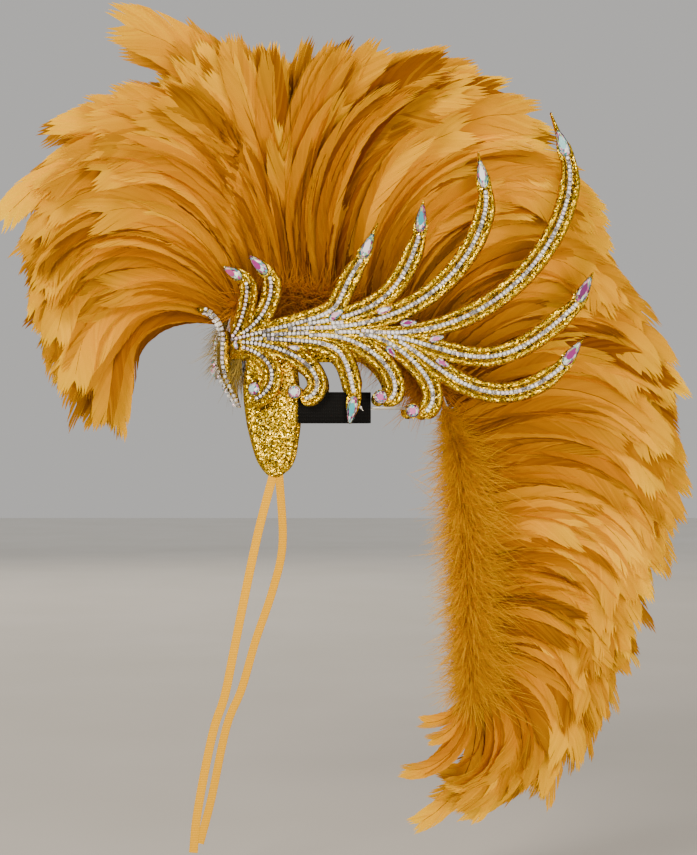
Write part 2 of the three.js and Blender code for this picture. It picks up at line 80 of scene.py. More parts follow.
# One node with its settings, its ramp and what its sockets take: a value or another socket.
def addNode(material, kind, settings=None, sockets=None, stops=()):
    node = material.node_tree.nodes.new("ShaderNode" + kind)
    for key, value in (settings or {}).items():
        setattr(node, key, value)
    for i, (place, colour) in enumerate(stops):
        element = node.color_ramp.elements[i] if i < 2 else node.color_ramp.elements.new(place)
        element.position = place
        element.color = linearOf(colour)
    for key, value in (sockets or {}).items():
        if isinstance(value, bpy.types.NodeSocket):
            material.node_tree.links.new(value, node.inputs[key])
        else:
            node.inputs[key].default_value = value
    return node


def feed(material, shader, socket, source):
    material.node_tree.links.new(source, shader.inputs[socket])


cameraData = bpy.data.cameras.new("camera")
cameraData.sensor_fit = "VERTICAL"
cameraData.sensor_height = 36
cameraData.lens = studio["lens"]
camera = newObject("camera", cameraData)
camera.location = studio["camera"]
camera.rotation_euler = (math.pi / 2, 0, math.pi / 2)
bpy.context.scene.camera = camera

world = bpy.data.worlds.new("studioWorld")
world.use_nodes = True
background = world.node_tree.nodes["Background"]
background.inputs["Color"].default_value = linearOf(studio["worldColour"])
background.inputs["Strength"].default_value = studio["worldStrength"]
bpy.context.scene.world = world

for lamp in lamps:
    light = bpy.data.lights.new(lamp["name"], "AREA")
    light.size = lamp["size"]
    light.energy = lamp["watts"]
    light.color = linearOf(studio["lampColour"])[:3]
    holder = newObject(lamp["name"], light)
    holder.location = lamp["place"]
    way = Vector(lamp["aim"]) - Vector(lamp["place"])
    holder.rotation_euler = way.to_track_quat("-Z", "Y").to_euler()

floorShape = bmesh.new()
bmesh.ops.create_grid(floorShape, x_segments=4, y_segments=4, size=studio["floorHalf"])
bmesh.ops.translate(floorShape, vec=(0, 0, studio["floorLevel"]), verts=floorShape.verts)
floorData = bpy.data.meshes.new("floor")
floorShape.to_mesh(floorData)
floorShape.free()
floor = newObject("floor", floorData)
# Painted board: matt, with a faint unevenness.
boardPaint, boardShader = newMaterial("paintedBoard", {"Roughness": 0.85})
boardPlace = addNode(boardPaint, "TexCoord").outputs["Object"]
boardNoise = addNode(boardPaint, "TexNoise", sockets={"Vector": boardPlace, "Scale": 3.0, "Detail": 2.0})
boardTone = addNode(boardPaint, "ValToRGB", sockets={"Fac": boardNoise.outputs["Fac"]},
                    stops=[(0.3, "#efede8"), (0.7, "#f5f3ef")])
# Painted shade: the board is painted greyer where the lamps stand, against their light, so that it runs
# evenly into the wall.
boardSpan = addNode(boardPaint, "VectorMath", {"operation": "LENGTH"}, {0: boardPlace})
boardDepth = addNode(boardPaint, "MapRange", sockets={
    "Value": boardSpan.outputs["Value"], "From Min": 7.0, "From Max": 1.0})
boardShade = addNode(boardPaint, "ValToRGB", sockets={"Fac": boardDepth.outputs["Result"]},
                     stops=[(0.0, "#f4f3f1"), (0.5, "#d2d0cd"), (1.0, "#adabaa")])
boardMix = addNode(boardPaint, "Mix", multiply, {
    0: 1.0, 6: boardTone.outputs["Color"], 7: boardShade.outputs["Color"]})
feed(boardPaint, boardShader, "Base Color", boardMix.outputs[2])
floorData.materials.append(boardPaint)
print("studio ready")


# Shapes that several pieces share
def heading(degrees):
    return np.array([math.cos(math.radians(degrees)), math.sin(math.radians(degrees))])


# From each point to the nearest of some others.
def gapsTo(points, others):
    return np.linalg.norm(points[:, None, :] - others[None, :, :], axis=2).min(1)


def smoothStep(values, low, high):
    share = np.clip((np.asarray(values, float) - low) / (high - low), 0, 1)
    return share * share * (3 - 2 * share)


# Points evenly spaced along a line of points.
def evenly(points, count):
    points = np.asarray(points, float)
    lengths = np.concatenate([[0], np.cumsum(np.linalg.norm(np.diff(points, axis=0), axis=1))])
    wanted = np.linspace(0, lengths[-1], count)
    return np.stack([np.interp(wanted, lengths, points[:, i]) for i in range(points.shape[1])], 1)


# A smooth route through chosen points, the same kind of curve as the frame's routes.
def smoothRoute(points, count):
    p = np.array(points, float)
    p = np.vstack([2 * p[0] - p[1], p, 2 * p[-1] - p[-2]])
    dense = []
    for i in range(len(p) - 3):
        knots = np.concatenate([[0], np.cumsum(
            np.sqrt(np.linalg.norm(np.diff(p[i:i + 4], axis=0), axis=1)))])
        t = np.linspace(knots[1], knots[2], 40)[:, None]
        near = [((knots[j + 1] - t) * p[i + j] + (t - knots[j]) * p[i + j + 1])
                / (knots[j + 1] - knots[j]) for j in range(3)]
        wide = [((knots[j + 2] - t) * near[j] + (t - knots[j]) * near[j + 1])
                / (knots[j + 2] - knots[j]) for j in range(2)]
        dense.append(((knots[2] - t) * wide[0] + (t - knots[1]) * wide[1]) / (knots[2] - knots[1]))
    return evenly(np.vstack(dense), count)


# The way along a route at each of its points, from the point before to the point after.
def waysAlong(route):
    ends = np.vstack([route[:1], route, route[-1:]])
    return ends[2:] - ends[:-2]


# A matrix from three axes and a place.
def seatOf(x, y, z, place):
    matrix = Matrix((x, y, z)).transposed().to_4x4()
    matrix.translation = place
    return matrix


# The head's oval in plan, `out` beyond it; the wings run straight in front and flare behind.
head = {"halfWidth": 77, "halfLength": 112, "straightFrom": -94, "flare": 34, "reach": 300}


def shellX(y, out, flared=True):
    y, out = np.broadcast_arrays(np.asarray(y, float), np.asarray(out, float))
    a, b = head["halfWidth"] + out, head["halfLength"] + out
    x = a * np.sqrt(np.maximum(1 - (y / b) ** 2, 0.002))
    if not flared:
        return x
    start = a * np.sqrt(1 - (head["straightFrom"] / b) ** 2)
    slope = -(head["straightFrom"] / b ** 2) * a ** 2 / start
    x = np.where(y < head["straightFrom"], start + (y - head["straightFrom"]) * slope, x)
    return np.where(y > 0, a + head["flare"] * (np.maximum(y, 0) / head["reach"]) ** 1.5, x)


# A closed solid from sections of equal length: a grid whose rows take the sections' places,
# welded along its seam and filled at both ends.
def sweep(bm, sections, scale=mm):
    rows, columns = len(sections), len(sections[0])
    made = bmesh.ops.create_grid(bm, x_segments=columns, y_segments=rows - 1, size=1)["verts"]
    made = sorted(made, key=lambda vert: (round(vert.co.y, 5), round(vert.co.x, 5)))
    for i, vert in enumerate(made):
        row, column = divmod(i, columns + 1)
        vert.co = Vector(sections[row][column % columns]) * scale
    rims = {edge for vert in made for edge in vert.link_edges if edge.is_boundary}
    bmesh.ops.remove_doubles(bm, verts=made, dist=1e-7)
    rims = [edge for edge in rims if edge.is_valid and edge.is_boundary]
    bmesh.ops.holes_fill(bm, edges=rims, sides=0)


def finishPiece(name, bm, material, nodes=(), smooth=True):
    bmesh.ops.recalc_face_normals(bm, faces=bm.faces)
    data = bpy.data.meshes.new(name)
    bm.to_mesh(data)
    bm.free()
    return placeMesh(name, data, material, nodes, smooth)


def placeMesh(name, data, material, nodes=(), smooth=True):
    data.materials.append(material)
    data.polygons.foreach_set("use_smooth", [smooth] * len(data.polygons))
    piece = newObject(name, data)
    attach(piece, "root")
    if nodes:
        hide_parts(*nodes)
    return piece


def storeVectors(data, name, values, domain="POINT"):
    layer = data.attributes.new(name, "FLOAT_VECTOR", domain)
    layer.data.foreach_set("vector", np.asarray(values, np.float32).ravel())


# Many small things as one mesh: corners (n, 3) in mm, and faces as rows of corner numbers
# with -1 where a row is shorter.
def meshOf(name, corners, faces, vaneTones=None):
    faces = np.asarray(faces)
    sizes = (faces >= 0).sum(1)
    loops = faces[faces >= 0]
    data = bpy.data.meshes.new(name)
    data.vertices.add(len(corners))
    data.vertices.foreach_set("co", (np.asarray(corners, float) * mm).astype(np.float32).ravel())
    data.loops.add(len(loops))
    data.loops.foreach_set("vertex_index", loops.astype(np.int32))
    data.polygons.add(len(faces))
    starts = np.concatenate([[0], np.cumsum(sizes)[:-1]])
    data.polygons.foreach_set("loop_start", starts.astype(np.int32))
    if vaneTones is not None:
        storeVectors(data, "vaneTone", vaneTones)
    data.update(calc_edges=True)
    return data


# Cords first: satin tie ribbons and the clear elastic
# Satin ribbon: woven polyester, 10 mm wide, a soft sheen along its length and a fine rib.
satin, satinShader = newMaterial("yellowSatin", {
    "Roughness": 0.45, "Specular IOR Level": 0.12, "Specular Tint": "#ffb000", "Anisotropic": 0.4})
# Ribs are drawn at 1.4 mm, coarser than the real 0.3 mm, so that they show.
satinRib = addNode(satin, "TexWave", {"bands_direction": "Z"}, {
    "Vector": addNode(satin, "TexCoord").outputs["Object"], "Scale": 110.0, "Distortion": 0.6})
satinTone = addNode(satin, "ValToRGB", sockets={"Fac": satinRib.outputs["Fac"]},
                    stops=[(0.0, "#c48e00"), (1.0, "#d69c00")])
satinBump = addNode(satin, "Bump", sockets={
    "Height": satinRib.outputs["Fac"], "Strength": 0.12, "Distance": 0.0004})
feed(satin, satinShader, "Base Color", satinTone.outputs["Color"])
feed(satin, satinShader, "Normal", satinBump.outputs["Normal"])

ribbons = {
    "width": 10, "thickness": 1,
    "left": [[68, -59, -80], [69, -76, -145], [69, -91, -215], [68, -105, -285],
             [66, -117, -343], [64, -128, -375], [62, -149, -482], [61, -153, -523]],
    "right": [[-68, -58, -80], [-69, -54, -176], [-68, -66, -229], [-66, -87, -291],
              [-63, -105, -353], [-60, -120, -388], [-58, -142, -489], [-57, -155, -539]],
}
for side in ("left", "right"):
    route = smoothRoute(ribbons[side], 40)
    sections = []
    for point, along in zip(route, waysAlong(route)):
        across = np.array([0, -along[2], along[1]])
        across /= np.linalg.norm(across)
        facing = np.cross(across, along)
        facing /= np.linalg.norm(facing)
        w, t = ribbons["width"] / 2, ribbons["thickness"] / 2
        profile = [(-w, -t * 0.3), (-w * 0.9, -t), (0, -t * 0.7), (w * 0.9, -t),
                   (w, -t * 0.3), (w, t * 0.3), (w * 0.9, t), (0, t * 0.7), (-w * 0.9, t), (-w, t * 0.3)]
        sections.append([point + across * u + facing * v for u, v in profile])
    bm = bmesh.new()
    sweep(bm, sections)
    ribbon = finishPiece("tieRibbon_" + side, bm, satin, [f"ribbon_{side}"])
    length = float(np.linalg.norm(np.diff(route, axis=0), axis=1).sum())

# Clear elastic: soft extruded urethane, glassy, with little colour of its own.
clearElastic, elasticShader = newMaterial("clearElastic", {
    "Roughness": 0.22, "Transmission Weight": 0.55, "IOR": 1.49})
elasticNoise = addNode(clearElastic, "TexNoise", sockets={
    "Vector": addNode(clearElastic, "TexCoord").outputs["Object"], "Scale": 260.0})
elasticTone = addNode(clearElastic, "ValToRGB", sockets={"Fac": elasticNoise.outputs["Fac"]},
                      stops=[(0.3, "#dfe0dc"), (0.7, "#f4f4f0")])
feed(clearElastic, elasticShader, "Base Color", elasticTone.outputs["Color"])
elastic = {"thickness": 2.4, "halfWidth": 78, "halfLength": 113, "reach": 1.06, "height": -4}
route = [np.array([elastic["halfWidth"] * math.sin(a), elastic["halfLength"] * math.cos(a),
                   elastic["height"]]) for a in np.linspace(elastic["reach"], -elastic["reach"], 40)]
roundTurn = np.linspace(0, 2 * math.pi, 13)[:-1]
sections = []
for point, along in zip(route, waysAlong(route)):
    outward = np.array([-along[1], along[0], 0]) / np.hypot(along[0], along[1])
    upward = np.array([0, 0, 1])
    sections.append([point + elastic["thickness"] / 2 * (outward * math.cos(a) + upward * math.sin(a))
                     for a in roundTurn])
bm = bmesh.new()
sweep(bm, sections)
band = finishPiece("clearElasticBand", bm, clearElastic, ["back_elastic"])
length = float(np.linalg.norm(np.diff(route, axis=0), axis=1).sum())
print("ribbons and elastic laid")

# Glitter foam: craft foam under loose gold flakes, each flake tilted to catch the light its own way. Each
# flake is also painted its own tone at random, from a near-black painted shade to a pale painted glint.
glitter, glitterShader = newMaterial("goldGlitterFoam", {
    "Roughness": 0.3, "Metallic": 0.9, "Specular Tint": "#ffd76a"})
# Flakes are drawn 1.3 mm across; the real ones, 0.4 to 1 mm, would blur to one tone.
flakes = addNode(glitter, "TexVoronoi", sockets={
    "Vector": addNode(glitter, "TexCoord").outputs["Object"], "Scale": 760.0})
flakeToneGlintShade = addNode(glitter, "ValToRGB", sockets={"Fac": flakes.outputs["Color"]}, stops=[
    (0.0, "#1d1500"), (0.3, "#6d5300"), (0.55, "#cfa200"), (0.78, "#f2cf00"), (1.0, "#fff4a0")])
tilt = addNode(glitter, "VectorMath", {"operation": "SUBTRACT"}, {0: flakes.outputs["Color"]})
tilt.inputs[1].default_value = (0.5, 0.5, 0.5)
lean = addNode(glitter, "VectorMath", {"operation": "ADD"}, {
    0: addNode(glitter, "NewGeometry").outputs["Normal"], 1: tilt.outputs["Vector"]})
flat = addNode(glitter, "VectorMath", {"operation": "NORMALIZE"}, {0: lean.outputs["Vector"]})
feed(glitter, glitterShader, "Base Color", flakeToneGlintShade.outputs["Color"])
feed(glitter, glitterShader, "Normal", flat.outputs["Vector"])

# Cut glass with an aurora coat: each facet is painted its own colour, partly the coat's tints and partly
# painted fire, with painted glints in white and painted shade in the darkest, so the fire shows from any
# side.
auroraGlass, auroraShader = newMaterial("auroraCutGlass", {
    "Roughness": 0.07, "Metallic": 0.35, "Coat Weight": 1.0, "Coat Roughness": 0.03})
auroraFacet = addNode(auroraGlass, "Attribute", {"attribute_name": "facet"})
auroraPart = addNode(auroraGlass, "SeparateXYZ", sockets={0: auroraFacet.outputs["Vector"]})
auroraTintAndGlint = addNode(auroraGlass, "ValToRGB", sockets={"Fac": auroraPart.outputs["X"]}, stops=[
    (0.0, "#2b2140"), (0.14, "#a32a86"), (0.3, "#e07ab8"), (0.42, "#ffffff"), (0.56, "#ffffff"),
    (0.66, "#5cc8d0"), (0.78, "#157f9c"), (0.88, "#a4dd86"), (1.0, "#ffe07a")])
feed(auroraGlass, auroraShader, "Base Color", auroraTintAndGlint.outputs["Color"])

# Clear cut glass, foiled at its back: each facet painted bright or dark, painted glints and painted shade
# side by side, the top end with a pink tint.
clearGlass, clearShader = newMaterial("clearCutGlass", {
    "Roughness": 0.08, "Metallic": 0.25, "Coat Weight": 1.0, "Coat Roughness": 0.03})
clearFacet = addNode(clearGlass, "Attribute", {"attribute_name": "facet"})
clearPart = addNode(clearGlass, "SeparateXYZ", sockets={0: clearFacet.outputs["Vector"]})
clearGlintAndShade = addNode(clearGlass, "ValToRGB", sockets={"Fac": clearPart.outputs["X"]}, stops=[
    (0.0, "#4a474c"), (0.16, "#9c98a0"), (0.34, "#ffffff"), (0.8, "#ffffff"), (1.0, "#f0c8e4")])
feed(clearGlass, clearShader, "Base Color", clearGlintAndShade.outputs["Color"])

# Plated brass settings: silver-grey, polished, slightly darker where plating is thin.
silver, silverShader = newMaterial("silverPlatedBrass", {"Roughness": 0.24, "Metallic": 1.0})
silverNoise = addNode(silver, "TexNoise", sockets={
    "Vector": addNode(silver, "TexCoord").outputs["Object"], "Scale": 420.0})
silverTone = addNode(silver, "ValToRGB", sockets={"Fac": silverNoise.outputs["Fac"]},
                     stops=[(0.35, "#66645f"), (0.65, "#b9b7b4")])
feed(silver, silverShader, "Base Color", silverTone.outputs["Color"])

# Wing scrolls: the rows of the frame's table, each foam strip from hub to stone. A row is
# from, heading and pull there; to, heading and push there; then the pear stone's turn and the
# spike past it, or the round stone's place
def rowsOf(last, *rows):
    return [dict(zip(("from", "leave", "pull", "to", "arrive", "push") + last, row)) for row in rows]


scrolls = rowsOf(
    ("turn", "spike"),
    ((-108, 80), 12, 8, (-92, 146), 122, 18, 26, 0),
    ((-108, 77), 20, 50, (-64, 150), 126, 14, 8, 3),
    ((-109, 76), 12, 165, (43, 166), 54, 80, 12, 13),
    ((-105, 78), 12, 126, (110, 196), 74, 116, 10, 6),
    ((-10, 88), 0, 160, (184, 246), 108, 36, -8, 10),
    ((43, 85), -9, 158, (277, 280), 106, 78, 4, 22),
    ((17, 83), 2, 134, (288, 114), 45, 166, 18, 6),
    ((54, 80), 14, 52, (272, 43), 42, 135, 12, 6),
    ((-66, 76), -4, 84, (35, 10), -78, 66, -22, 3))
scrolls += rowsOf(
    ("round",),
    ((-109, 71), -12, 78, (-86, 6), 176, 24, (-81, 18)),
    ((-105, 74), -4, 102, (-27, 5), 188, 38, (-34, 14)),
    ((-17, 79), 6, 77, (70, 3), 196, 36, (65, 8)),
    ((47, 79), 10, 26, (111, -13), 210, 55, (102, -8)))
foam = {"lift": 4.3, "width": 24, "base": 4.2, "top": 9, "chainHalf": 3.6, "chainClear": 6.8, "steps": 64,
        "roundReach": 8.6, "roundHalf": 8.8, "padHalf": 8.4}
pear = {"length": 30, "width": 15, "height": 7}
roundStone = {"length": 14, "width": 14, "height": 6}
# Half of the strip's outline: place across as a share of the half width, and height.
foamProfile = [(1.0, 0), (1.0, 3.2), (0.95, 5.6), (0.86, 7.8), (0.74, 8.9), (0.6, 9.0),
               (0.48, 8.3), (0.38, 6.4), (0.31, 4.3), (0.0, 4.2)]

# Rows of chain alone, side by side from the hub to where the later scrolls begin
hubRows = rowsOf(
    (),
    ((-104, 80.5), 12, 30, (-10, 88), 2, 30),
    ((-100, 77.5), 6, 40, (17, 83), 2, 40),
    ((-104, 75.5), 2, 40, (-17, 79), 6, 30),
    ((-60, 88), 8, 40, (60, 96), 4, 40),
    ((-10, 88), 0, 20, (43, 85), -9, 20),
    ((17, 83), -4, 14, (54, 80), 8, 14))


def chainLine(row, count):
    start, end = np.array(row["from"], float), np.array(row["to"], float)
    pulled = start + heading(row["leave"]) * row["pull"]
    pushed = end - heading(row["arrive"]) * row["push"]
    t = np.linspace(0, 1, 240)[:, None]
    bezier = ((1 - t) ** 3 * start + 3 * (1 - t) ** 2 * t * pulled
              + 3 * (1 - t) * t ** 2 * pushed + t ** 3 * end)
    return evenly(bezier, count)


allChains = np.vstack([chainLine(row, 90) for row in scrolls + hubRows])


def chainRoom(points):
    room = smoothStep(gapsTo(points, allChains), foam["chainHalf"], foam["chainClear"])
    return foam["base"] + (foam["top"] - foam["base"]) * room


def foamStrip(bm, line, halfWidths, profile, shift, flip, room=True):
    along = np.gradient(line, axis=0)
    along /= np.linalg.norm(along, axis=1)[:, None]
    side = np.stack([-along[:, 1], along[:, 0]], 1)
    outline = profile + [(-u, n) for u, n in reversed(profile[:-1] if profile[-1][0] == 0 else profile)]
    sections = []
    for centre, across, half in zip(line, side, halfWidths):
        flatPlaces = np.array([centre + across * half * u for u, n in outline])
        lifts = np.array([n for u, n in outline])
        if room:
            lifts = np.minimum(lifts, chainRoom(flatPlaces))
        lifts = lifts + shift
        x = shellX(flatPlaces[:, 0], foam["lift"] + lifts) * flip
        sections.append([(a, b, c) for a, (b, c) in zip(x, flatPlaces)])
    sweep(bm, sections)


padProfile = [(1.0, 0), (1.0, 3.2), (0.9, 4.0), (0.0, 4.05)]
spikeProfile = [(1.0, 0), (1.0, 2.6), (0.8, 5.0), (0.4, 6.4), (0.0, 6.8)]
for flip, sideName in sides:
    bm = bmesh.new()
    for number, row in enumerate(scrolls):
        line = chainLine(row, foam["steps"])
        share = np.linspace(0, 1, foam["steps"])
        half = foam["width"] / 2 * np.minimum(1, 0.5 + 1.5 * share)
        half *= (np.sqrt(np.maximum(1 - (np.maximum(share - 0.9, 0) / 0.1) ** 2, 0.04)) if "round" in row
                 else 1 - 0.32 * smoothStep(share, 0.9, 1.0))
        foamStrip(bm, line, half, foamProfile, 0.05 * number - 0.3, flip)
        if "round" in row:
            # Round foam end under a round stone, built from a spun ring of sections
            centre = np.array(row["round"], float)
            turns = np.linspace(-1, 1, 15)
            line = np.array([centre + (0, foam["roundReach"] * t) for t in turns])
            half = foam["roundHalf"] * np.sqrt(np.maximum(1 - turns ** 2, 0.03))
            foamStrip(bm, line, half, [(1.0, 0), (1.0, 6.5), (0.88, 9.0), (0.0, 9.25)],
                      0.05 * number, flip, room=False)
            continue
        end = line[-1]
        out = heading(row["arrive"] + row["turn"])
        reach = pear["length"] + 3 + row["spike"]
        places = np.linspace(-5, pear["length"] + 2.5, 16)
        half = foam["padHalf"] * np.interp(places / pear["length"],
                                           [-0.17, 0.05, 0.4, 0.75, 1.1], [0.8, 1.0, 0.98, 0.6, 0.2])
        pad = np.array([end + out * d for d in places])
        foamStrip(bm, pad, half, padProfile, 0.02 * number, flip, room=False)
        if row["spike"] > 3:
            places = np.linspace(pear["length"] - 1, reach, 8)
            spike = np.array([end + out * d for d in places])
            foamStrip(bm, spike, np.linspace(3.2, 0.8, 8), spikeProfile, 0, flip, room=False)
    finishPiece("foamScrolls_" + sideName, bm, glitter, [f"wing_{sideName}"])
print("wings swept")


# A corner of a stone's ring: its outline is an oval, narrower at one end where it is long.
def ovalCorner(size, angle, scale, level):
    length, width, height = size
    lean = 1 - 0.25 * (1 + math.cos(angle)) * (1 if length > width else 0)
    return (width / 2 * math.sin(angle) * lean * scale,
            length / 2 * math.cos(angle) * scale, level * height)


# A cut stone at the origin: girdle, crown and table rings of turned corners inside one hull.
def cutStone(length, width, height, sides):
    bm = bmesh.new()
    for scale, level, turn in ((0.93, 0.0, 0.0), (1.0, 0.3, 0.0), (0.82, 0.72, 0.5), (0.56, 1.0, 0.0)):
        ring = bmesh.ops.create_circle(bm, segments=sides, radius=1)["verts"]
        for i, vert in enumerate(ring):
            vert.co = ovalCorner((length, width, height), 2 * math.pi * (i + turn) / sides, scale, level)
    hull = bmesh.ops.convex_hull(bm, input=bm.verts)
    inside = [e for e in hull["geom_unused"] if isinstance(e, bmesh.types.BMVert)]
    bmesh.ops.delete(bm, geom=inside, context="VERTS")
    bmesh.ops.dissolve_limit(bm, angle_limit=0.02, verts=bm.verts, edges=bm.edges)
    bmesh.ops.recalc_face_normals(bm, faces=bm.faces)
    return bm


# A setting: a low cup round the girdle with four claws bent over the crown.
def stoneSetting(length, width, height, sides):
    bm = bmesh.new()
    size = (length, width, height)
    sweep(bm, [[ovalCorner(size, 2 * math.pi * i / sides, scale, level) for i in range(sides)]
               for scale, level in ((0.96, -0.5), (1.07, -0.4), (1.1, 0.34), (1.04, 0.4), (1.0, 0.3))], 1)
    for angle in (0.5, 2.3, 3.98, 5.78):
        claw = bmesh.ops.create_cone(bm, cap_ends=True, segments=6, radius1=0.75, radius2=0.45,
                                     depth=height * 0.62)["verts"]
        bmesh.ops.rotate(bm, verts=claw, cent=(0, 0, 0),
                         matrix=Matrix.Rotation(-0.5, 3, (math.cos(angle), -math.sin(angle), 0)))
        bmesh.ops.translate(bm, verts=claw, vec=ovalCorner(size, angle, 1, 0.36))
    return bm


# Where a thing sits on the wing: x across, y along `angle` in the side view, z out of the shell.
def seatOn(y, z, angle, lift, flip):
    at = Vector((float(shellX(y, lift)), y, z))
    slope = float(shellX(y + 0.5, lift) - shellX(y - 0.5, lift))
    normal = Vector((1, -slope, 0)).normalized()
    way = heading(angle)
    along = Vector((slope * way[0], way[0], way[1])).normalized()
    across = along.cross(normal).normalized()
    return Matrix.Diagonal((flip, 1, 1, 1)) @ seatOf(across, along, normal, at)


def setStone(name, matrix, size, rng, nodes=(), fire=(0.0, 1.0), sides=10):
    for part, maker, material, slot in (("glass", cutStone, auroraGlass, "stone"),
                                        ("setting", stoneSetting, silver, "chain")):
        bm = maker(size["length"], size["width"], size["height"], sides)
        bmesh.ops.transform(bm, matrix=Matrix.Diagonal((mm, mm, mm, 1)) @ matrix, verts=bm.verts)
        bmesh.ops.recalc_face_normals(bm, faces=bm.faces)
        data = bpy.data.meshes.new(name + "_" + part)
        bm.to_mesh(data)
        bm.free()
        if part == "glass":
            # Each facet gets a value on the glass's ramp of coat tints, painted glints and painted shade.
            storeVectors(data, "facet", [(v, 0, 0) for v in rng.uniform(*fire, len(data.polygons))], "FACE")
        placeMesh(name + "_" + part, data, material, nodes if part == "glass" else (), smooth=False)


# Small stones where two scrolls part
crotchStones = [
    {"at": (-103, 70), "angle": 100, "length": 11}, {"at": (-35, 65), "angle": 170, "length": 14},
    {"at": (14, 103), "angle": 35, "length": 19}, {"at": (69, 108), "angle": 15, "length": 18},
    {"at": (97, 93), "angle": 5, "length": 18}, {"at": (129, 75), "angle": 15, "length": 17},
    {"at": (136, 47), "angle": -30, "length": 17}, {"at": (77, 60), "angle": -50, "length": 16},
]
rng = np.random.default_rng(4)
for flip, sideName in sides:
    for number, row in enumerate(scrolls):
        if "round" in row:
            seat = seatOn(*row["round"], 90, foam["lift"] + 9.6, flip)
            setStone(f"roundStone_{number - 8}_{sideName}", seat, roundStone, rng,
                     [f"round_stone_{number - 8}_{sideName}"], (0.0, 0.8), 12)
            continue
        angle = row["arrive"] + row["turn"]
        centre = np.array(row["to"], float) + heading(angle) * (pear["length"] / 2 + 2)
        seat = seatOn(centre[0], centre[1], angle, foam["lift"] + 4.6, flip)
        setStone(f"pearStone_{number + 1}_{sideName}", seat, pear, rng,
                 [f"pear_stone_{number + 1}_{sideName}"], (0.0, 0.95), 12)
    for number, row in enumerate(crotchStones):
        seat = seatOn(*row["at"], row["angle"], foam["lift"] + 7.2, flip)
        size = {"length": row["length"], "width": row["length"] * 0.55, "height": 4}
        setStone(f"forkStone_{number + 1}_{sideName}", seat, size, rng, (), (0.0, 0.8))
print("stones set")

# Cup chain: a small stone in a square cup every 4.9 mm, in every groove
cup = {"pitch": 4.9, "nearest": 4.25, "half": 2.35, "height": 2.4, "seat": 4.5,
       "clearOfFork": 6.5, "clearOfRound": 11}


# One cup and one small stone, as corners and faces in millimetres.
def cupTemplate(kind):
    if kind == "glass":
        bm = cutStone(4.4, 4.4, 2.5, 8)
        bmesh.ops.translate(bm, vec=(0, 0, 1.5), verts=bm.verts)
    else:
        bm = bmesh.new()
        made = bmesh.ops.create_cone(bm, cap_ends=True, segments=4, radius1=cup["half"] * 1.36,
                                     radius2=cup["half"] * 1.4, depth=cup["height"])
        bmesh.ops.rotate(bm, verts=made["verts"], cent=(0, 0, 0),
                         matrix=Matrix.Rotation(math.pi / 4, 3, "Z"))
        bmesh.ops.translate(bm, vec=(0, 0, cup["height"] / 2), verts=bm.verts)
    bmesh.ops.triangulate(bm, faces=bm.faces)
    corners = np.array([list(v.co) for v in bm.verts])
    faces = np.array([[v.index for v in f.verts] for f in bm.faces])
    bm.free()
    return corners, faces


def repeated(name, template, seats, rng, flipFaces):
    corners, faces = template
    stack = np.array([np.array(m) for m in seats])
    placed = np.einsum("nij,vj->nvi", stack[:, :3, :3], corners) + stack[:, None, :3, 3]
    allFaces = (faces[None] + len(corners) * np.arange(len(seats))[:, None, None]).reshape(-1, 3)
    if flipFaces:
        allFaces = allFaces[:, ::-1]
    data = meshOf(name, placed.reshape(-1, 3), allFaces)
    # Each small stone gets its own painted brightness, and each facet a little more: painted glints and
    # painted shade on the clear glass.
    tone = rng.uniform(0, 1, len(seats)).repeat(len(faces)) + rng.normal(0, 0.12, len(allFaces))
    storeVectors(data, "facet", np.stack([np.clip(tone, 0, 1)] * 3, 1), "FACE")
    return data


glassCup, metalCup = cupTemplate("glass"), cupTemplate("metal")
placedCups = []
order = [2, 3, 4, 5, 6, 7, 8, 1, 0] + list(range(9, 19))  # the longest chains keep their places
taken = np.array([s["at"] for s in crotchStones], float)
for number in order:
    row = (scrolls + hubRows)[number]
    dense = chainLine(row, 400)
    lengths = np.concatenate([[0], np.cumsum(np.linalg.norm(np.diff(dense, axis=0), axis=1))])
    stop = lengths[-1] - (6 if "round" in row else 1)
    for d in np.arange(2, stop, cup["pitch"]):
        at, near = [np.array([np.interp(s, lengths, dense[:, i]) for i in (0, 1)]) for s in (d, d + 1)]
        others = np.array([place for place, angle in placedCups] or [(0, 1e6)])
        if np.linalg.norm(others - at, axis=1).min() < cup["nearest"]:
            continue
        if np.linalg.norm(taken - at, axis=1).min() < cup["clearOfFork"]:
            continue
        if "round" in row and np.linalg.norm(np.array(row["round"]) - at) < cup["clearOfRound"]:
            continue
        way = near - at
        placedCups.append((at, math.degrees(math.atan2(way[1], way[0]))))


def layChain(cupName, stoneName, seats, nodes, flipFaces):
    cups = repeated(cupName, metalCup, seats, rng, flipFaces)
    placeMesh(cupName, cups, silver, nodes, smooth=False)
    stones = repeated(stoneName, glassCup, seats, rng, flipFaces)
    placeMesh(stoneName, stones, clearGlass, smooth=False)


for flip, sideName in sides:
    seats = [seatOn(at[0], at[1], angle, foam["lift"] + cup["seat"], flip) for at, angle in placedCups]
    layChain("chainCups_" + sideName, "chainStones_" + sideName, seats,
             [f"wing_chains_{sideName}"], flip < 0)
print("cup chain laid:", len(placedCups), "stones a side")

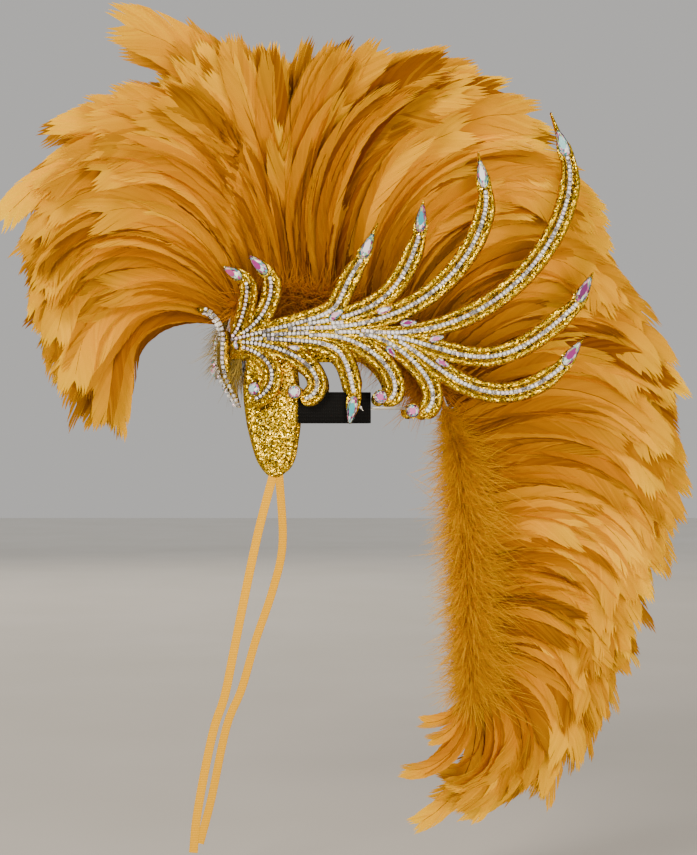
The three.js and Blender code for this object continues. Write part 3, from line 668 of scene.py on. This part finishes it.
# Cheek flaps: padded panel with a raised rim and a raised middle, thin under the scrolls
flap = {"rows": 46, "columns": 26, "underScroll": 3.9, "rise": 2.6, "scrollEdge": 13, "freeFrom": 17}
flapEdges = [  # height, front edge, back edge
    (53.7, -92, -36), (20, -96, -32), (-20, -92, -31), (-45, -86, -34), (-66, -79, -38),
    (-79, -70, -45), (-85, -63, -53)]
edgeRoute = smoothRoute(flapEdges, flap["rows"])
flapOutline = evenly(np.vstack([edgeRoute[:, [1, 0]], edgeRoute[::-1][:, [2, 0]]]), 260)
padHeights = [  # distance from the edge, height
    (0, 2.2), (1.2, 4.8), (3.5, 6.4), (6.5, 6.0), (8.5, 4.3), (10, 4.3), (12.5, 5.7), (18, 6.4), (40, 6.5)]


def flapHeight(points):
    heights = np.interp(gapsTo(points, flapOutline), *zip(*padHeights))
    ends = np.array([row["round"] for row in scrolls if "round" in row], float)
    gaps = np.minimum(gapsTo(points, allChains), gapsTo(points, ends) + 3)
    free = smoothStep(gaps, flap["scrollEdge"], flap["freeFrom"])
    return np.minimum(heights, flap["underScroll"] + flap["rise"] * free)


for flip, sideName in sides:
    bm = bmesh.new()
    sections = []
    for z, front, back in edgeRoute:
        y = np.linspace(front, back, flap["columns"])
        outer = np.stack([y, np.full_like(y, z)], 1)
        high = shellX(y, flapHeight(outer), False)
        low = shellX(y, 0.0, False)
        sections.append([(x * flip, b, z) for x, b in zip(high, y)]
                        + [(x * flip, b, z) for x, b in zip(low[::-1], y[::-1])])
    sweep(bm, sections)
    finishPiece("cheekFlap_" + sideName, bm, glitter, [f"cheek_flap_{sideName}"])

# Band round the front of the head
bandSizes = {"wall": 3, "low": 54, "middle": 66, "high": 78, "round": 0.6, "reach": 120, "steps": 72}
bm = bmesh.new()
sections = []
for angle in np.radians(np.linspace(-bandSizes["reach"], bandSizes["reach"], bandSizes["steps"])):
    low, middle, high = bandSizes["low"], bandSizes["middle"], bandSizes["high"]
    wall, rounding = bandSizes["wall"], bandSizes["round"]
    profile = [(0, low + rounding), (rounding, low), (wall - rounding, low), (wall, low + rounding),
               (wall, middle), (wall, high - rounding), (wall - rounding, high), (rounding, high),
               (0, high - rounding), (0, middle)]
    sections.append([((head["halfWidth"] + out) * math.sin(angle),
                      -(head["halfLength"] + out) * math.cos(angle), z) for out, z in profile])
sweep(bm, sections)
finishPiece("glitterBand", bm, glitter, ["front_band"])

# Webbing tabs: black polypropylene, 36 mm, folded and sewn square at the rear end.
webbing, webbingShader = newMaterial("blackWebbing", {
    "Roughness": 0.8, "Specular IOR Level": 0.12})
webPlace = addNode(webbing, "TexCoord").outputs["Object"]
# Weave of 2 mm ribs along the strap's height
webRib = addNode(webbing, "TexWave", {"bands_direction": "Z"}, {
    "Vector": webPlace, "Scale": 78.0, "Distortion": 0.8, "Detail Scale": 3.0})
webCross = addNode(webbing, "TexWave", {"bands_direction": "Y"}, {
    "Vector": webPlace, "Scale": 120.0, "Distortion": 0.5})
webMix = addNode(webbing, "Math", {"operation": "MULTIPLY"}, {
    0: webRib.outputs["Fac"], 1: webCross.outputs["Fac"]})
webBump = addNode(webbing, "Bump", sockets={
    "Height": webMix.outputs["Value"], "Strength": 0.5, "Distance": 0.0006})
webTone = addNode(webbing, "ValToRGB", sockets={"Fac": webMix.outputs["Value"]},
                  stops=[(0.0, "#010101"), (1.0, "#0b0b0c")])
feed(webbing, webbingShader, "Base Color", webTone.outputs["Color"])
feed(webbing, webbingShader, "Normal", webBump.outputs["Normal"])
tab = {"wall": 2, "middle": -4, "half": 18, "front": -30.6, "rear": 54, "steps": 36}
for flip, sideName in sides:
    bm = bmesh.new()
    sections = []
    for y in np.linspace(tab["front"], tab["rear"], tab["steps"]):
        low, high = tab["middle"] - tab["half"], tab["middle"] + tab["half"]
        wall = tab["wall"]
        profile = [(0, low + 0.4), (0.5, low), (wall - 0.5, low), (wall, low + 0.4), (wall, tab["middle"]),
                   (wall, high - 0.4), (wall - 0.5, high), (0.5, high), (0, high - 0.4), (0, tab["middle"])]
        sections.append([(float(shellX(y, out, False)) * flip, y, z) for out, z in profile])
    sweep(bm, sections)
    finishPiece("webbingTab_" + sideName, bm, webbing, [f"back_tab_{sideName}"])

# Tacking stitch on each tab: a small knot and two short ends of white polyester thread.
thread = newMaterial("whiteThread", {"Base Color": "#f2f0ea", "Roughness": 0.6})[0]
stitch = {"at": (42, -3.5), "knot": 1.7, "thread": 0.45, "ends": (70, 215), "length": 5}
for flip, sideName in sides:
    bm = bmesh.new()
    bmesh.ops.create_icosphere(bm, subdivisions=2, radius=stitch["knot"])
    for degrees in stitch["ends"]:
        made = bmesh.ops.create_cone(bm, cap_ends=True, segments=6, radius1=stitch["thread"],
                                     radius2=stitch["thread"], depth=stitch["length"])["verts"]
        bmesh.ops.rotate(bm, verts=made, cent=(0, 0, 0), matrix=Matrix.Rotation(math.pi / 2, 3, "X"))
        bmesh.ops.translate(bm, verts=made, vec=(0, stitch["length"] / 2, 0))
        bmesh.ops.rotate(bm, verts=made, cent=(0, 0, 0),
                         matrix=Matrix.Rotation(math.radians(degrees), 3, "Z"))
    y, z = stitch["at"]
    seat = Matrix(((0, 0, flip, flip * float(shellX(y, tab["wall"] + 0.6, False))),
                   (1, 0, 0, y), (0, 1, 0, z), (0, 0, 0, 1)))
    bmesh.ops.transform(bm, matrix=Matrix.Diagonal((mm, mm, mm, 1)) @ seat, verts=bm.verts)
    finishPiece("tabStitch_" + sideName, bm, thread)
print("flaps, band and tabs made")

# Brow ornament: a foam shield with two curls, edged with cup chain
brow = {"curlRoute": [[11, -121, 78], [15, -124, 94], [19, -132, 106], [24, -142, 113], [28, -150, 112]],
        "steps": 34, "chainInset": 5, "chainPitch": 5.6}
browRows = np.array([  # height, half width, back, wall
    (-3, 1.5, -101, 4), (14, 8, -106, 9), (32, 15, -113, 11), (50, 18, -116.4, 12),
    (68, 17, -116.4, 12), (88, 15, -116.4, 10)])
bm = bmesh.new()
sections = []
for z in np.linspace(-3, 88, brow["steps"]):
    half, back, wall = [np.interp(z, browRows[:, 0], browRows[:, i]) for i in (1, 2, 3)]
    rim = [(1.0, 0.45), (0.93, 0.75), (0.78, 0.95), (0.6, 0.9), (0.45, 1.0), (0.2, 0.85)]
    profile = [(u, 0) for u in (-1, -0.5, 0, 0.5, 1)] + rim + [(-u, d) for u, d in rim[::-1]]
    sections.append([(u * half, back - wall * d + (u * half / 40) ** 2 * 14, z) for u, d in profile])
sweep(bm, sections)
for flip in (1, -1):
    route = smoothRoute(brow["curlRoute"], 22)
    sections = []
    for i, (point, along) in enumerate(zip(route, waysAlong(route))):
        along /= np.linalg.norm(along)
        across = np.array([1, 0, 0]) - along * along[0]
        across /= np.linalg.norm(across)
        up = np.cross(across, along)
        half = 6.4 - 3.0 * i / 21
        ring = [point + across * half * math.cos(a) + up * 3.2 * math.sin(a)
                for a in roundTurn]
        sections.append([(p[0] * flip, p[1], p[2]) for p in ring])
    sweep(bm, sections)
finishPiece("browShield", bm, glitter, ["front_ornament"])


def browFace(z):
    return float(np.interp(z, browRows[:, 0], browRows[:, 2] - browRows[:, 3]))


# A seat on the shield: x across, y up and z out towards the front.
def browSeat(x, z, lift):
    return Matrix(((1, 0, 0, x), (0, 0, -1, browFace(z) - lift), (0, 1, 0, z), (0, 0, 0, 1)))


browStones = [
    {"name": "pear", "z": 46, "length": 28, "width": 17, "height": 8},
    {"name": "top", "z": 74, "length": 11, "width": 9, "height": 5},
    {"name": "point", "z": 20, "length": 9, "width": 7, "height": 4},
]
for row in browStones:
    setStone("browStone_" + row["name"], browSeat(0, row["z"], 1.6), row, rng,
             [f"front_stone_{row['name']}"], (0.1, 1.0), 12)
seats = []
for z in np.arange(0, 86, brow["chainPitch"]):
    inset = max(float(np.interp(z, browRows[:, 0], browRows[:, 1])) - brow["chainInset"], 0)
    seats += [browSeat(x, z, 0.4) for x in ((-inset, inset) if inset > 2.9 else (0,))]
    half, back, wall = [float(np.interp(z, browRows[:, 0], browRows[:, i])) for i in (1, 2, 3)]
    for flip in (1, -1):  # the same chain runs round the shield's edge
        seats.append(Matrix(((0, 0, flip, flip * (half - 0.4)), (flip, 0, 0, back - wall * 0.5),
                             (0, 1, 0, z), (0, 0, 0, 1))))
route = smoothRoute(brow["curlRoute"], 60)
for i in range(2, 58, 7):
    along = Vector(route[i + 1] - route[i - 1]).normalized()
    across = (Vector((1, 0, 0)) - along * along.x).normalized()
    up = along.cross(across)
    up = up if up.y < 0 else -up
    for offset in (-2.8, 2.8):
        base = Vector(route[i]) + across * offset * (1 - 0.4 * i / 60) + up * 2.2
        matrix = seatOf(along.cross(up), along, up, base)
        seats += [matrix, Matrix.Diagonal((-1, 1, 1, 1)) @ matrix]
    side = seatOf(along.cross(across), along, across, Vector(route[i]) + across * (5.6 - 2.6 * i / 60))
    seats += [side, Matrix.Diagonal((-1, 1, 1, 1)) @ side]
layChain("browCups", "browChainStones", seats, ["front_chains"], False)
print("brow ornament set:", len(seats), "small stones")

# Carrier bar: covered in cotton tape, only glimpsed between the feathers.
tape, tapeShader = newMaterial("goldCottonTape", {"Roughness": 0.9})
tapeWeave = addNode(tape, "TexWave", {"bands_direction": "Z"}, {
    "Vector": addNode(tape, "TexCoord").outputs["Object"], "Scale": 160.0, "Distortion": 1.5})
tapeTone = addNode(tape, "ValToRGB", sockets={"Fac": tapeWeave.outputs["Fac"]},
                   stops=[(0.0, "#7c5210"), (1.0, "#a87619")])
feed(tape, tapeShader, "Base Color", tapeTone.outputs["Color"])
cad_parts["crest_spine"].data.materials.clear()
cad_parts["crest_spine"].data.materials.append(tape)

# Feathers
# Dyed cock feather: silky barbs, light coming through the vane, and painted shade deep in the plume that
# makes it darker towards the quill's root.
plumage, plumageShader = newMaterial("goldCockFeather", {
    "Roughness": 0.46, "Specular IOR Level": 0.3, "Specular Tint": "#ffb52e"})
vaneTone = addNode(plumage, "Attribute", {"attribute_name": "vaneTone"})
vaneParts = addNode(plumage, "SeparateXYZ", sockets={0: vaneTone.outputs["Vector"]})
# Painted shade along the feather: dark orange at the root, deep in the plume, to bright gold at the tip.
rootShadeTone = addNode(plumage, "ValToRGB", sockets={"Fac": vaneParts.outputs["Y"]}, stops=[
    (0.0, "#b87c00"), (0.25, "#d09200"), (0.55, "#eaa800"), (0.8, "#fabc00"), (1.0, "#fcca00")])
featherTone = addNode(plumage, "ValToRGB", sockets={"Fac": vaneParts.outputs["X"]}, stops=[
    (0.0, "#8f7038"), (0.5, "#e0d0a8"), (1.0, "#ffffff")])
toned = addNode(plumage, "Mix", multiply, {
    0: 1.0, 6: rootShadeTone.outputs["Color"], 7: featherTone.outputs["Color"]})
barbPlace = addNode(plumage, "Attribute", {"attribute_name": "barbPlace"})
# Barbs are drawn 1 mm apart, twice their real spacing.
barbs = addNode(plumage, "TexWave", {"bands_direction": "X"}, {
    "Vector": barbPlace.outputs["Vector"], "Scale": 1.6, "Distortion": 1.2, "Detail": 1.0})
barbTone = addNode(plumage, "ValToRGB", sockets={"Fac": barbs.outputs["Fac"]},
                   stops=[(0.0, "#e6dfcd"), (1.0, "#ffffff")])
lined = addNode(plumage, "Mix", multiply, {0: 1.0, 6: toned.outputs[2], 7: barbTone.outputs["Color"]})
feed(plumage, plumageShader, "Base Color", lined.outputs[2])
glow = addNode(plumage, "BsdfTranslucent", sockets={"Color": lined.outputs[2]})
through = addNode(plumage, "MixShader", sockets={
    0: 0.38, 1: plumageShader.outputs["BSDF"], 2: glow.outputs["BSDF"]})
feed(plumage, plumage.node_tree.nodes["Material Output"], "Surface", through.outputs["Shader"])

spineRoute = smoothRoute([[-112, 78.3], [-113, 100], [-94, 118], [-45, 127], [10, 119], [70, 94],
                          [116, 50], [141, 5], [158, -55], [167, -140], [172, -225], [175, -345]], 400)
# Place along the bar, heading at the root, turn to the tip, length, share where the turn ends
stations = np.array([
    (.028, 136, 124, 246, .7), (.038, 124, 134, 270, .85), (.052, 102, 156, 298, 1), (.07, 92, 150, 324, 1),
    (.09, 82, 150, 350, 1), (.115, 79, 132, 338, 1), (.14, 86, 66, 326, 1), (.16, 101, -22, 300, 1),
    (.18, 114, -106, 330, 1), (.23, 107, -112, 360, 1), (.3, 98, -146, 354, 1), (.38, 90, -150, 306, 1),
    (.46, 62, -138, 324, 1), (.54, 40, -114, 306, 1), (.63, 32, -106, 268, 1), (.75, 31, -118, 233, 1),
    (.86, 33, -112, 198, 1), (.94, 11, -118, 180, 1), (.985, -30, -165, 174, 1)])
plumes = [  # stations that each plume spans, and how many feathers it has
    {"node": "plume_front", "first": 0.0, "last": 7.0, "count": 400},
    {"node": "plume_top", "first": 7.0, "last": 10.5, "count": 270},
    {"node": "plume_back", "first": 10.5, "last": 13.5, "count": 200},
    {"node": "plume_tail", "first": 13.5, "last": 18.0, "count": 320},
]
feather = {"steps": 33, "clumps": 30, "width": 44, "lead": 0.147, "curl": 1.5,
           "splayRoot": 7, "splayTip": 20, "wave": 5, "rootLift": 3.8, "rootAside": 4.2, "wingGap": 3.0}
wingRoom = {"front": -118, "back": 318, "low": -30, "high": 322}  # where feathers stay between the wings

loneFeathers = [  # feathers that stand out singly: plume, then the row as below
    ("plume_front", 0.135, 74, 95, 404, 60, 0.5), ("plume_front", 0.14, 82, 54, 326, 64, 0.4),
    ("plume_front", 0.135, 76, 90, 384, 46, 0.1), ("plume_front", 0.14, 86, 48, 314, 52, -0.4),
    ("plume_front", 0.115, 82, 124, 366, 46, 0.4), ("plume_front", 0.118, 80, 120, 350, 42, -0.2),
    ("plume_front", 0.1, 88, 148, 378, 42, 0.6), ("plume_front", 0.105, 86, 118, 372, 44, 0.2),
    ("plume_front", 0.033, 130, 134, 256, 40, 0.2),
    ("plume_front", 0.078, 90, 150, 384, 38, 0.9), ("plume_front", 0.086, 86, 150, 390, 38, 0.3),
    ("plume_front", 0.106, 82, 138, 362, 40, 0.5),
    ("plume_top", 0.21, 112, -108, 366, 36, 0.7), ("plume_top", 0.2, 112, -100, 352, 34, -0.6),
    ("plume_tail", 0.99, -96, -70, 86, 18, 0.5), ("plume_tail", 0.998, -92, -60, 112, 20, 0.2),
    ("plume_tail", 0.998, -84, -95, 140, 22, 0.4), ("plume_tail", 0.99, -70, -84, 196, 26, -0.3),
    ("plume_tail", 0.99, -104, -80, 80, 16, -0.4),
]


# Where shares of the bar's length lie: the route's point before, the place, the ways along and out.
def spineAt(share):
    at = share * (len(spineRoute) - 1)
    low = np.floor(at).astype(int).clip(0, len(spineRoute) - 2)
    step = spineRoute[low + 1] - spineRoute[low]
    tangent = step / np.linalg.norm(step, axis=1)[:, None]
    outward = np.stack([-tangent[:, 1], tangent[:, 0]], 1)
    return spineRoute[low], spineRoute[low] + step * (at - low)[:, None], tangent, outward


# Faces of strips three squares long, eight corners a strip.
def stripFaces(count):
    template = np.array([(0, 1, 3, 2), (2, 3, 5, 4), (4, 5, 7, 6)])
    return (template[None] + 8 * np.arange(count)[:, None, None]).reshape(-1, 4)


# Feathers from rows of numbers, one row a feather: place along the bar, heading at the root,
# turn to the tip, length, width, side from -1 for the wearer's right to 1 for their left, and the
# share of the length where the turn ends.
def growFeathers(name, rows, rng):
    along, start, turn, length, width, side, ends = rows
    count = len(along)
    before, place, tangent, outward = spineAt(along)
    root = place + outward * feather["rootLift"]
    steps = feather["steps"]
    share = np.linspace(0, 1, steps)[None]
    bend = np.minimum(share / ends[:, None], 1) ** feather["curl"]
    lead = feather["lead"]
    waveSize = rng.normal(0, 1, count)[:, None]
    wave = feather["wave"] * waveSize * np.sin(share * 5 + rng.uniform(0, 6, count)[:, None]) * share
    angle = np.radians(start[:, None] + turn[:, None] * (lead + (1 - lead) * bend) + wave)
    splay = feather["splayRoot"] + (feather["splayTip"] - feather["splayRoot"]) * share
    splay = np.radians(side[:, None] * splay)
    ways = np.stack([np.sin(splay), np.cos(angle) * np.cos(splay), np.sin(angle) * np.cos(splay)], 2)
    line = np.cumsum(ways, axis=1) * (length / (steps - 1))[:, None, None]
    line += np.stack([side * feather["rootAside"], root[:, 0], root[:, 1]], 1)[:, None, :] - line[:, :1, :]
    flatAcross = np.stack([np.zeros_like(angle), -ways[:, :, 2], ways[:, :, 1]], 2)
    flatAcross /= np.linalg.norm(flatAcross, axis=2)[:, :, None]
    facing = np.cross(flatAcross, ways)
    twist = (rng.normal(0, 0.3, count)[:, None] + rng.normal(0, 0.35, count)[:, None] * share)[:, :, None]
    across = flatAcross * np.cos(twist) + facing * np.sin(twist)
    facing = np.cross(across, ways)

    def sample(values, s):
        at = np.clip(s, 0, 1) * (steps - 1)
        i = np.floor(at).astype(int).clip(0, steps - 2)
        f = (at - i)[..., None]
        rows = np.arange(count).reshape((-1,) + (1,) * (s.ndim - 1))
        return values[rows, i] * (1 - f) + values[rows, i + 1] * f

    def lineAt(s):
        beyond = np.maximum(s - 1, 0)[..., None]
        shape = (-1,) + (1,) * s.ndim
        return sample(line, s) + sample(ways, s) * beyond * length.reshape(shape)

    # Vane: pointed clumps of barbs on both sides of the quill, overlapping like shingles.
    clumps = feather["clumps"]
    # A few neighbouring clumps share one lean, so the vane parts in a few places only.
    group = np.floor(np.arange(clumps) / 5.5 + rng.uniform(0, 1, (count, 2, 1))).astype(int)
    parting = np.take_along_axis(rng.normal(0, 1, (count, 2, clumps)), group, 2)
    base = np.linspace(0.04, 0.965, clumps) + rng.normal(0, 0.12 / clumps, (count, 2, clumps))
    vane = np.interp(base, [0, 0.06, 0.22, 0.5, 0.75, 0.88, 0.96, 1.0],
                     [0.25, 0.5, 0.85, 1.0, 0.97, 0.76, 0.32, 0.08])
    reachOut = vane * width[:, None, None] / 2 * (1 + 0.03 * parting) * rng.normal(1, 0.012, base.shape)
    forward = reachOut * (1.9 + 0.16 * parting + 0.9 * base) * rng.normal(1, 0.015, base.shape)
    forward /= length[:, None, None]
    droop = rng.normal(0.18, 0.16, (count, 1, 1)) * reachOut
    half = 0.85 / clumps
    lifts = 0.2 * rng.uniform(0.6, 1.4, base.shape)
    sideSign = np.array([-1, 1])[None, :, None]
    corners, places, tones = [], [], []
    toneOf = np.clip(rng.normal(0.56, 0.3, count), 0, 1)[:, None, None] + rng.normal(0, 0.06, base.shape)
    for q, edges in ((0.0, (-1, 1)), (0.36, (-1.15, 1.15)), (0.76, (-1.05, 1.05)), (1.0, (-0.85, 0.95))):
        for edge in edges:
            s = base + forward * q ** 1.15 + edge * half * (0.75 if q else 0.9)
            point = (lineAt(s) + sample(across, s) * (sideSign * reachOut * q ** 0.85)[..., None]
                     + sample(facing, s) * (lifts * edge - droop * q * q)[..., None])
            corners.append(point)
            places.append(np.stack([s * length[:, None, None] * 0.5, reachOut * q * 0.1, toneOf * 9], -1))
            # The share along the feather, second, picks its painted shade: darker towards the root.
            tones.append(np.stack([toneOf, np.clip(s, 0, 1), np.full_like(s, q)], -1))
    corners, places, tones = [np.stack(values, -2).reshape(-1, 3) for values in (corners, places, tones)]
    faces = stripFaces(count * 2 * clumps)

    # Quill: a thin four-sided stem that tapers to the tip.
    stem = 11
    s = np.broadcast_to(np.linspace(0, 0.96, stem), (count, stem))
    middle, sideways, outward = lineAt(s), sample(across, s), sample(facing, s)
    thick = (0.95 - 0.7 * s)[..., None]
    ring = np.stack([middle + sideways * thick, middle + outward * thick, middle - sideways * thick,
                     middle - outward * thick], 2).reshape(-1, 3)
    numbers = np.arange(count * stem * 4).reshape(count, stem, 4)
    a, b = numbers[:, :-1], numbers[:, 1:]
    stemFaces = np.stack([a, np.roll(a, -1, 2), np.roll(b, -1, 2), b], -1).reshape(-1, 4)
    stemFaces += len(corners)
    # The quill takes a darker tone of its own, and half the vane's painted shade along its length.
    stemTone = np.stack([np.full(s.shape, 0.25), s * 0.5, np.zeros(s.shape)], -1)
    stemTone = stemTone.repeat(4, 1).reshape(-1, 3)
    corners = np.vstack([corners, ring])
    tones = np.vstack([tones, stemTone])
    places = np.vstack([places, np.zeros_like(ring)])
    faces = np.vstack([faces, stemFaces])

    # Feathers lie inside the wings and round the band.
    limit = shellX(corners[:, 1], foam["lift"] - feather["wingGap"])
    y, z = corners[:, 1], corners[:, 2]
    inWing = ((y > wingRoom["front"]) & (y < wingRoom["back"])
              & (z > wingRoom["low"]) & (z < wingRoom["high"]))
    limit = np.where(inWing, limit, 1e3)
    corners[:, 0] = np.clip(corners[:, 0], -limit, limit)
    data = meshOf(name, corners, faces, tones)
    storeVectors(data, "barbPlace", places)
    return data


rng = np.random.default_rng(21)
for plume in plumes:
    count = plume["count"]
    station = rng.uniform(plume["first"], plume["last"], count)
    along, start, turn, length, ends = [
        np.interp(station, range(len(stations)), stations[:, i]) for i in range(5)]
    reach = np.where(rng.uniform(0, 1, count) < 0.5,
                     rng.uniform(0.88, 1.0, count), rng.uniform(0.5, 0.88, count))
    rows = [np.clip(along + rng.normal(0, 0.003, count), 0.024, 0.998), start + rng.normal(0, 3, count),
            turn * reach ** 1.1 * rng.normal(1, 0.05, count), length * reach,
            feather["width"] * rng.normal(1, 0.12, count),
            np.clip(rng.uniform(-1.08, 1.08, count), -1, 1), ends]
    extra = [row[1:] + (1,) for row in loneFeathers if row[0] == plume["node"]]
    rows = [np.concatenate([values, [row[i] for row in extra]]) for i, values in enumerate(rows)]
    data = growFeathers(plume["node"] + "_feathers", rows, rng)
    placeMesh(plume["node"] + "_feathers", data, plumage, [plume["node"]])
    print("feathers grown:", plume["node"], len(data.polygons), "faces")


# Down: thin curved strands from a root, each a strip of three lengths.
def growDown(name, roots, ways, lengths, rng, tone, droop=0.35, thick=0.42):
    count = len(roots)
    ways = ways / np.linalg.norm(ways, axis=1)[:, None]
    bend = rng.normal(0, 0.35, (count, 3)) + np.array([0, 0, -droop])
    flatWay = np.cross(ways, rng.normal(0, 1, (count, 3)))
    flatWay /= np.linalg.norm(flatWay, axis=1)[:, None]
    corners, tones = [], []
    for q, wide in ((0.0, 0.8), (0.4, 1.0), (0.75, 0.8), (1.0, 0.2)):
        middle = roots + (ways * q + bend * q * q * 0.6) * lengths[:, None]
        for edge in (-1, 1):
            corners.append(middle + flatWay * edge * wide * thick)
            # With the feather material, tone sets where the strand starts on the painted shade ramp,
            # lighter towards its tip.
            tones.append(np.stack([rng.uniform(0.5, 1.0, count), np.full(count, tone + 0.25 * q),
                                   np.full(count, q)], 1))
    corners, tones = [np.stack(values, 1).reshape(-1, 3) for values in (corners, tones)]
    return meshOf(name, corners, stripFaces(count), tones)


# Marabou down the inside of the tail, round the bar and over the roots of the feathers
marabou = {"from": 0.5, "to": 1.0, "strands": 26000, "inward": 1, "core": 4, "shortest": 24, "longest": 52}
count = marabou["strands"]
share = rng.uniform(marabou["from"], marabou["to"], count)
before, middle, tangent, outward = spineAt(share)
turnRound = rng.uniform(0, 2 * math.pi, count)
middle = middle - outward * marabou["inward"]
roots = np.stack([marabou["core"] * np.cos(turnRound), middle[:, 0], middle[:, 1]], 1)
spread = np.sin(turnRound)
fanned = spread + 0.3
leaving = outward * fanned[:, None] + tangent * 0.3
ways = np.stack([np.cos(turnRound), leaving[:, 0], leaving[:, 1]], 1) + rng.normal(0, 0.5, (count, 3))
lengths = rng.uniform(marabou["shortest"], marabou["longest"], count) * (1 + 0.75 * np.maximum(spread, 0))
lengths = lengths * (0.75 + 0.25 * np.sin(share * 160)) * np.clip((share - 0.47) * 9, 0.35, 1)
# Tone 0.84 takes the lighter end of the feathers' painted shade ramp.
data = growDown("marabouDown", roots, ways, lengths, rng, 0.84, thick=0.32)
placeMesh("marabouDown", data, plumage, ["marabou_boa"])
print("marabou grown:", count, "strands")

# Short gold down off both sides of the bar over the head, behind the wings
crown = {"from": 0.05, "to": 0.47, "strands": 15000, "shortest": 26, "longest": 60}
count = crown["strands"]
before, middle, tangent, outward = spineAt(rng.uniform(crown["from"], crown["to"], count))
edge = rng.choice([-1, 1], count)
roots = np.stack([edge * rng.uniform(2, 6, count), before[:, 0], before[:, 1]], 1)
roots[:, 1:] += outward * rng.uniform(-3, 6, count)[:, None]
sink = rng.uniform(-0.9, 0.5, count)
ways = np.stack([edge * rng.uniform(0.5, 1.1, count), outward[:, 0] * sink, outward[:, 1] * sink], 1)
ways += rng.normal(0, 0.2, ways.shape)
lengths = rng.uniform(crown["shortest"], crown["longest"], count)
# Tone 0.35 paints the crown down darker: painted shade among the roots behind the wings.
data = growDown("crownDown", roots, ways, lengths, rng, 0.35, droop=0.3, thick=0.5)
placeMesh("crownDown", data, plumage)
print("crown down grown:", count, "strands")

# Fluff behind the shield, and barbs hanging from the band's front edge, painted dark olive-brown as painted
# shade
darkDown, darkShader = newMaterial("paintedShadeDown", {"Roughness": 0.8})
downTone = addNode(darkDown, "Attribute", {"attribute_name": "vaneTone"})
downParts = addNode(darkDown, "SeparateXYZ", sockets={0: downTone.outputs["Vector"]})
# Painted shade: the down is coloured dark olive-brown where it lies in shade, lighter at random from strand
# to strand.
downRamp = addNode(darkDown, "ValToRGB", sockets={"Fac": downParts.outputs["X"]},
                   stops=[(0.3, "#3a3206"), (0.7, "#6f5a12"), (1.0, "#a88a24")])
feed(darkDown, darkShader, "Base Color", downRamp.outputs["Color"])
fluff = {"strands": 520, "shortest": 12, "longest": 34}
count = fluff["strands"]
height = rng.uniform(58, 100, count)
halfAt = np.interp(height, browRows[:, 0], browRows[:, 1])
edge = rng.choice([-1, 1], count)
roots = np.stack([edge * halfAt * rng.uniform(0.2, 0.9, count), rng.uniform(-6, 1, count) - 117, height], 1)
ways = np.stack([edge * rng.uniform(0.1, 0.9, count), rng.uniform(-1.3, -0.5, count),
                 rng.uniform(-1.9, -0.3, count)], 1)
lengths = rng.uniform(fluff["shortest"], fluff["longest"], count)
data = growDown("browFluff", roots, ways, lengths, rng, 0.3, thick=0.25)
placeMesh("browFluff", data, darkDown)
hanging = {"strands": 260, "shortest": 18, "longest": 44}
count = hanging["strands"]
yPlace = rng.uniform(-111, -98, count)
edge = rng.choice([-1, 1], count)
roots = np.stack([edge * shellX(yPlace, 0.4, False), yPlace, rng.uniform(48, 60, count)], 1)
ways = np.stack([edge * rng.uniform(-0.1, 0.2, count), rng.uniform(-0.25, 0.1, count), -np.ones(count)], 1)
lengths = rng.uniform(hanging["shortest"], hanging["longest"], count)
data = growDown("bandBarbs", roots, ways, lengths, rng, 0.3, droop=0.1, thick=0.3)
placeMesh("bandBarbs", data, darkDown)
print("fluff grown")

# Closing
print("scene built")
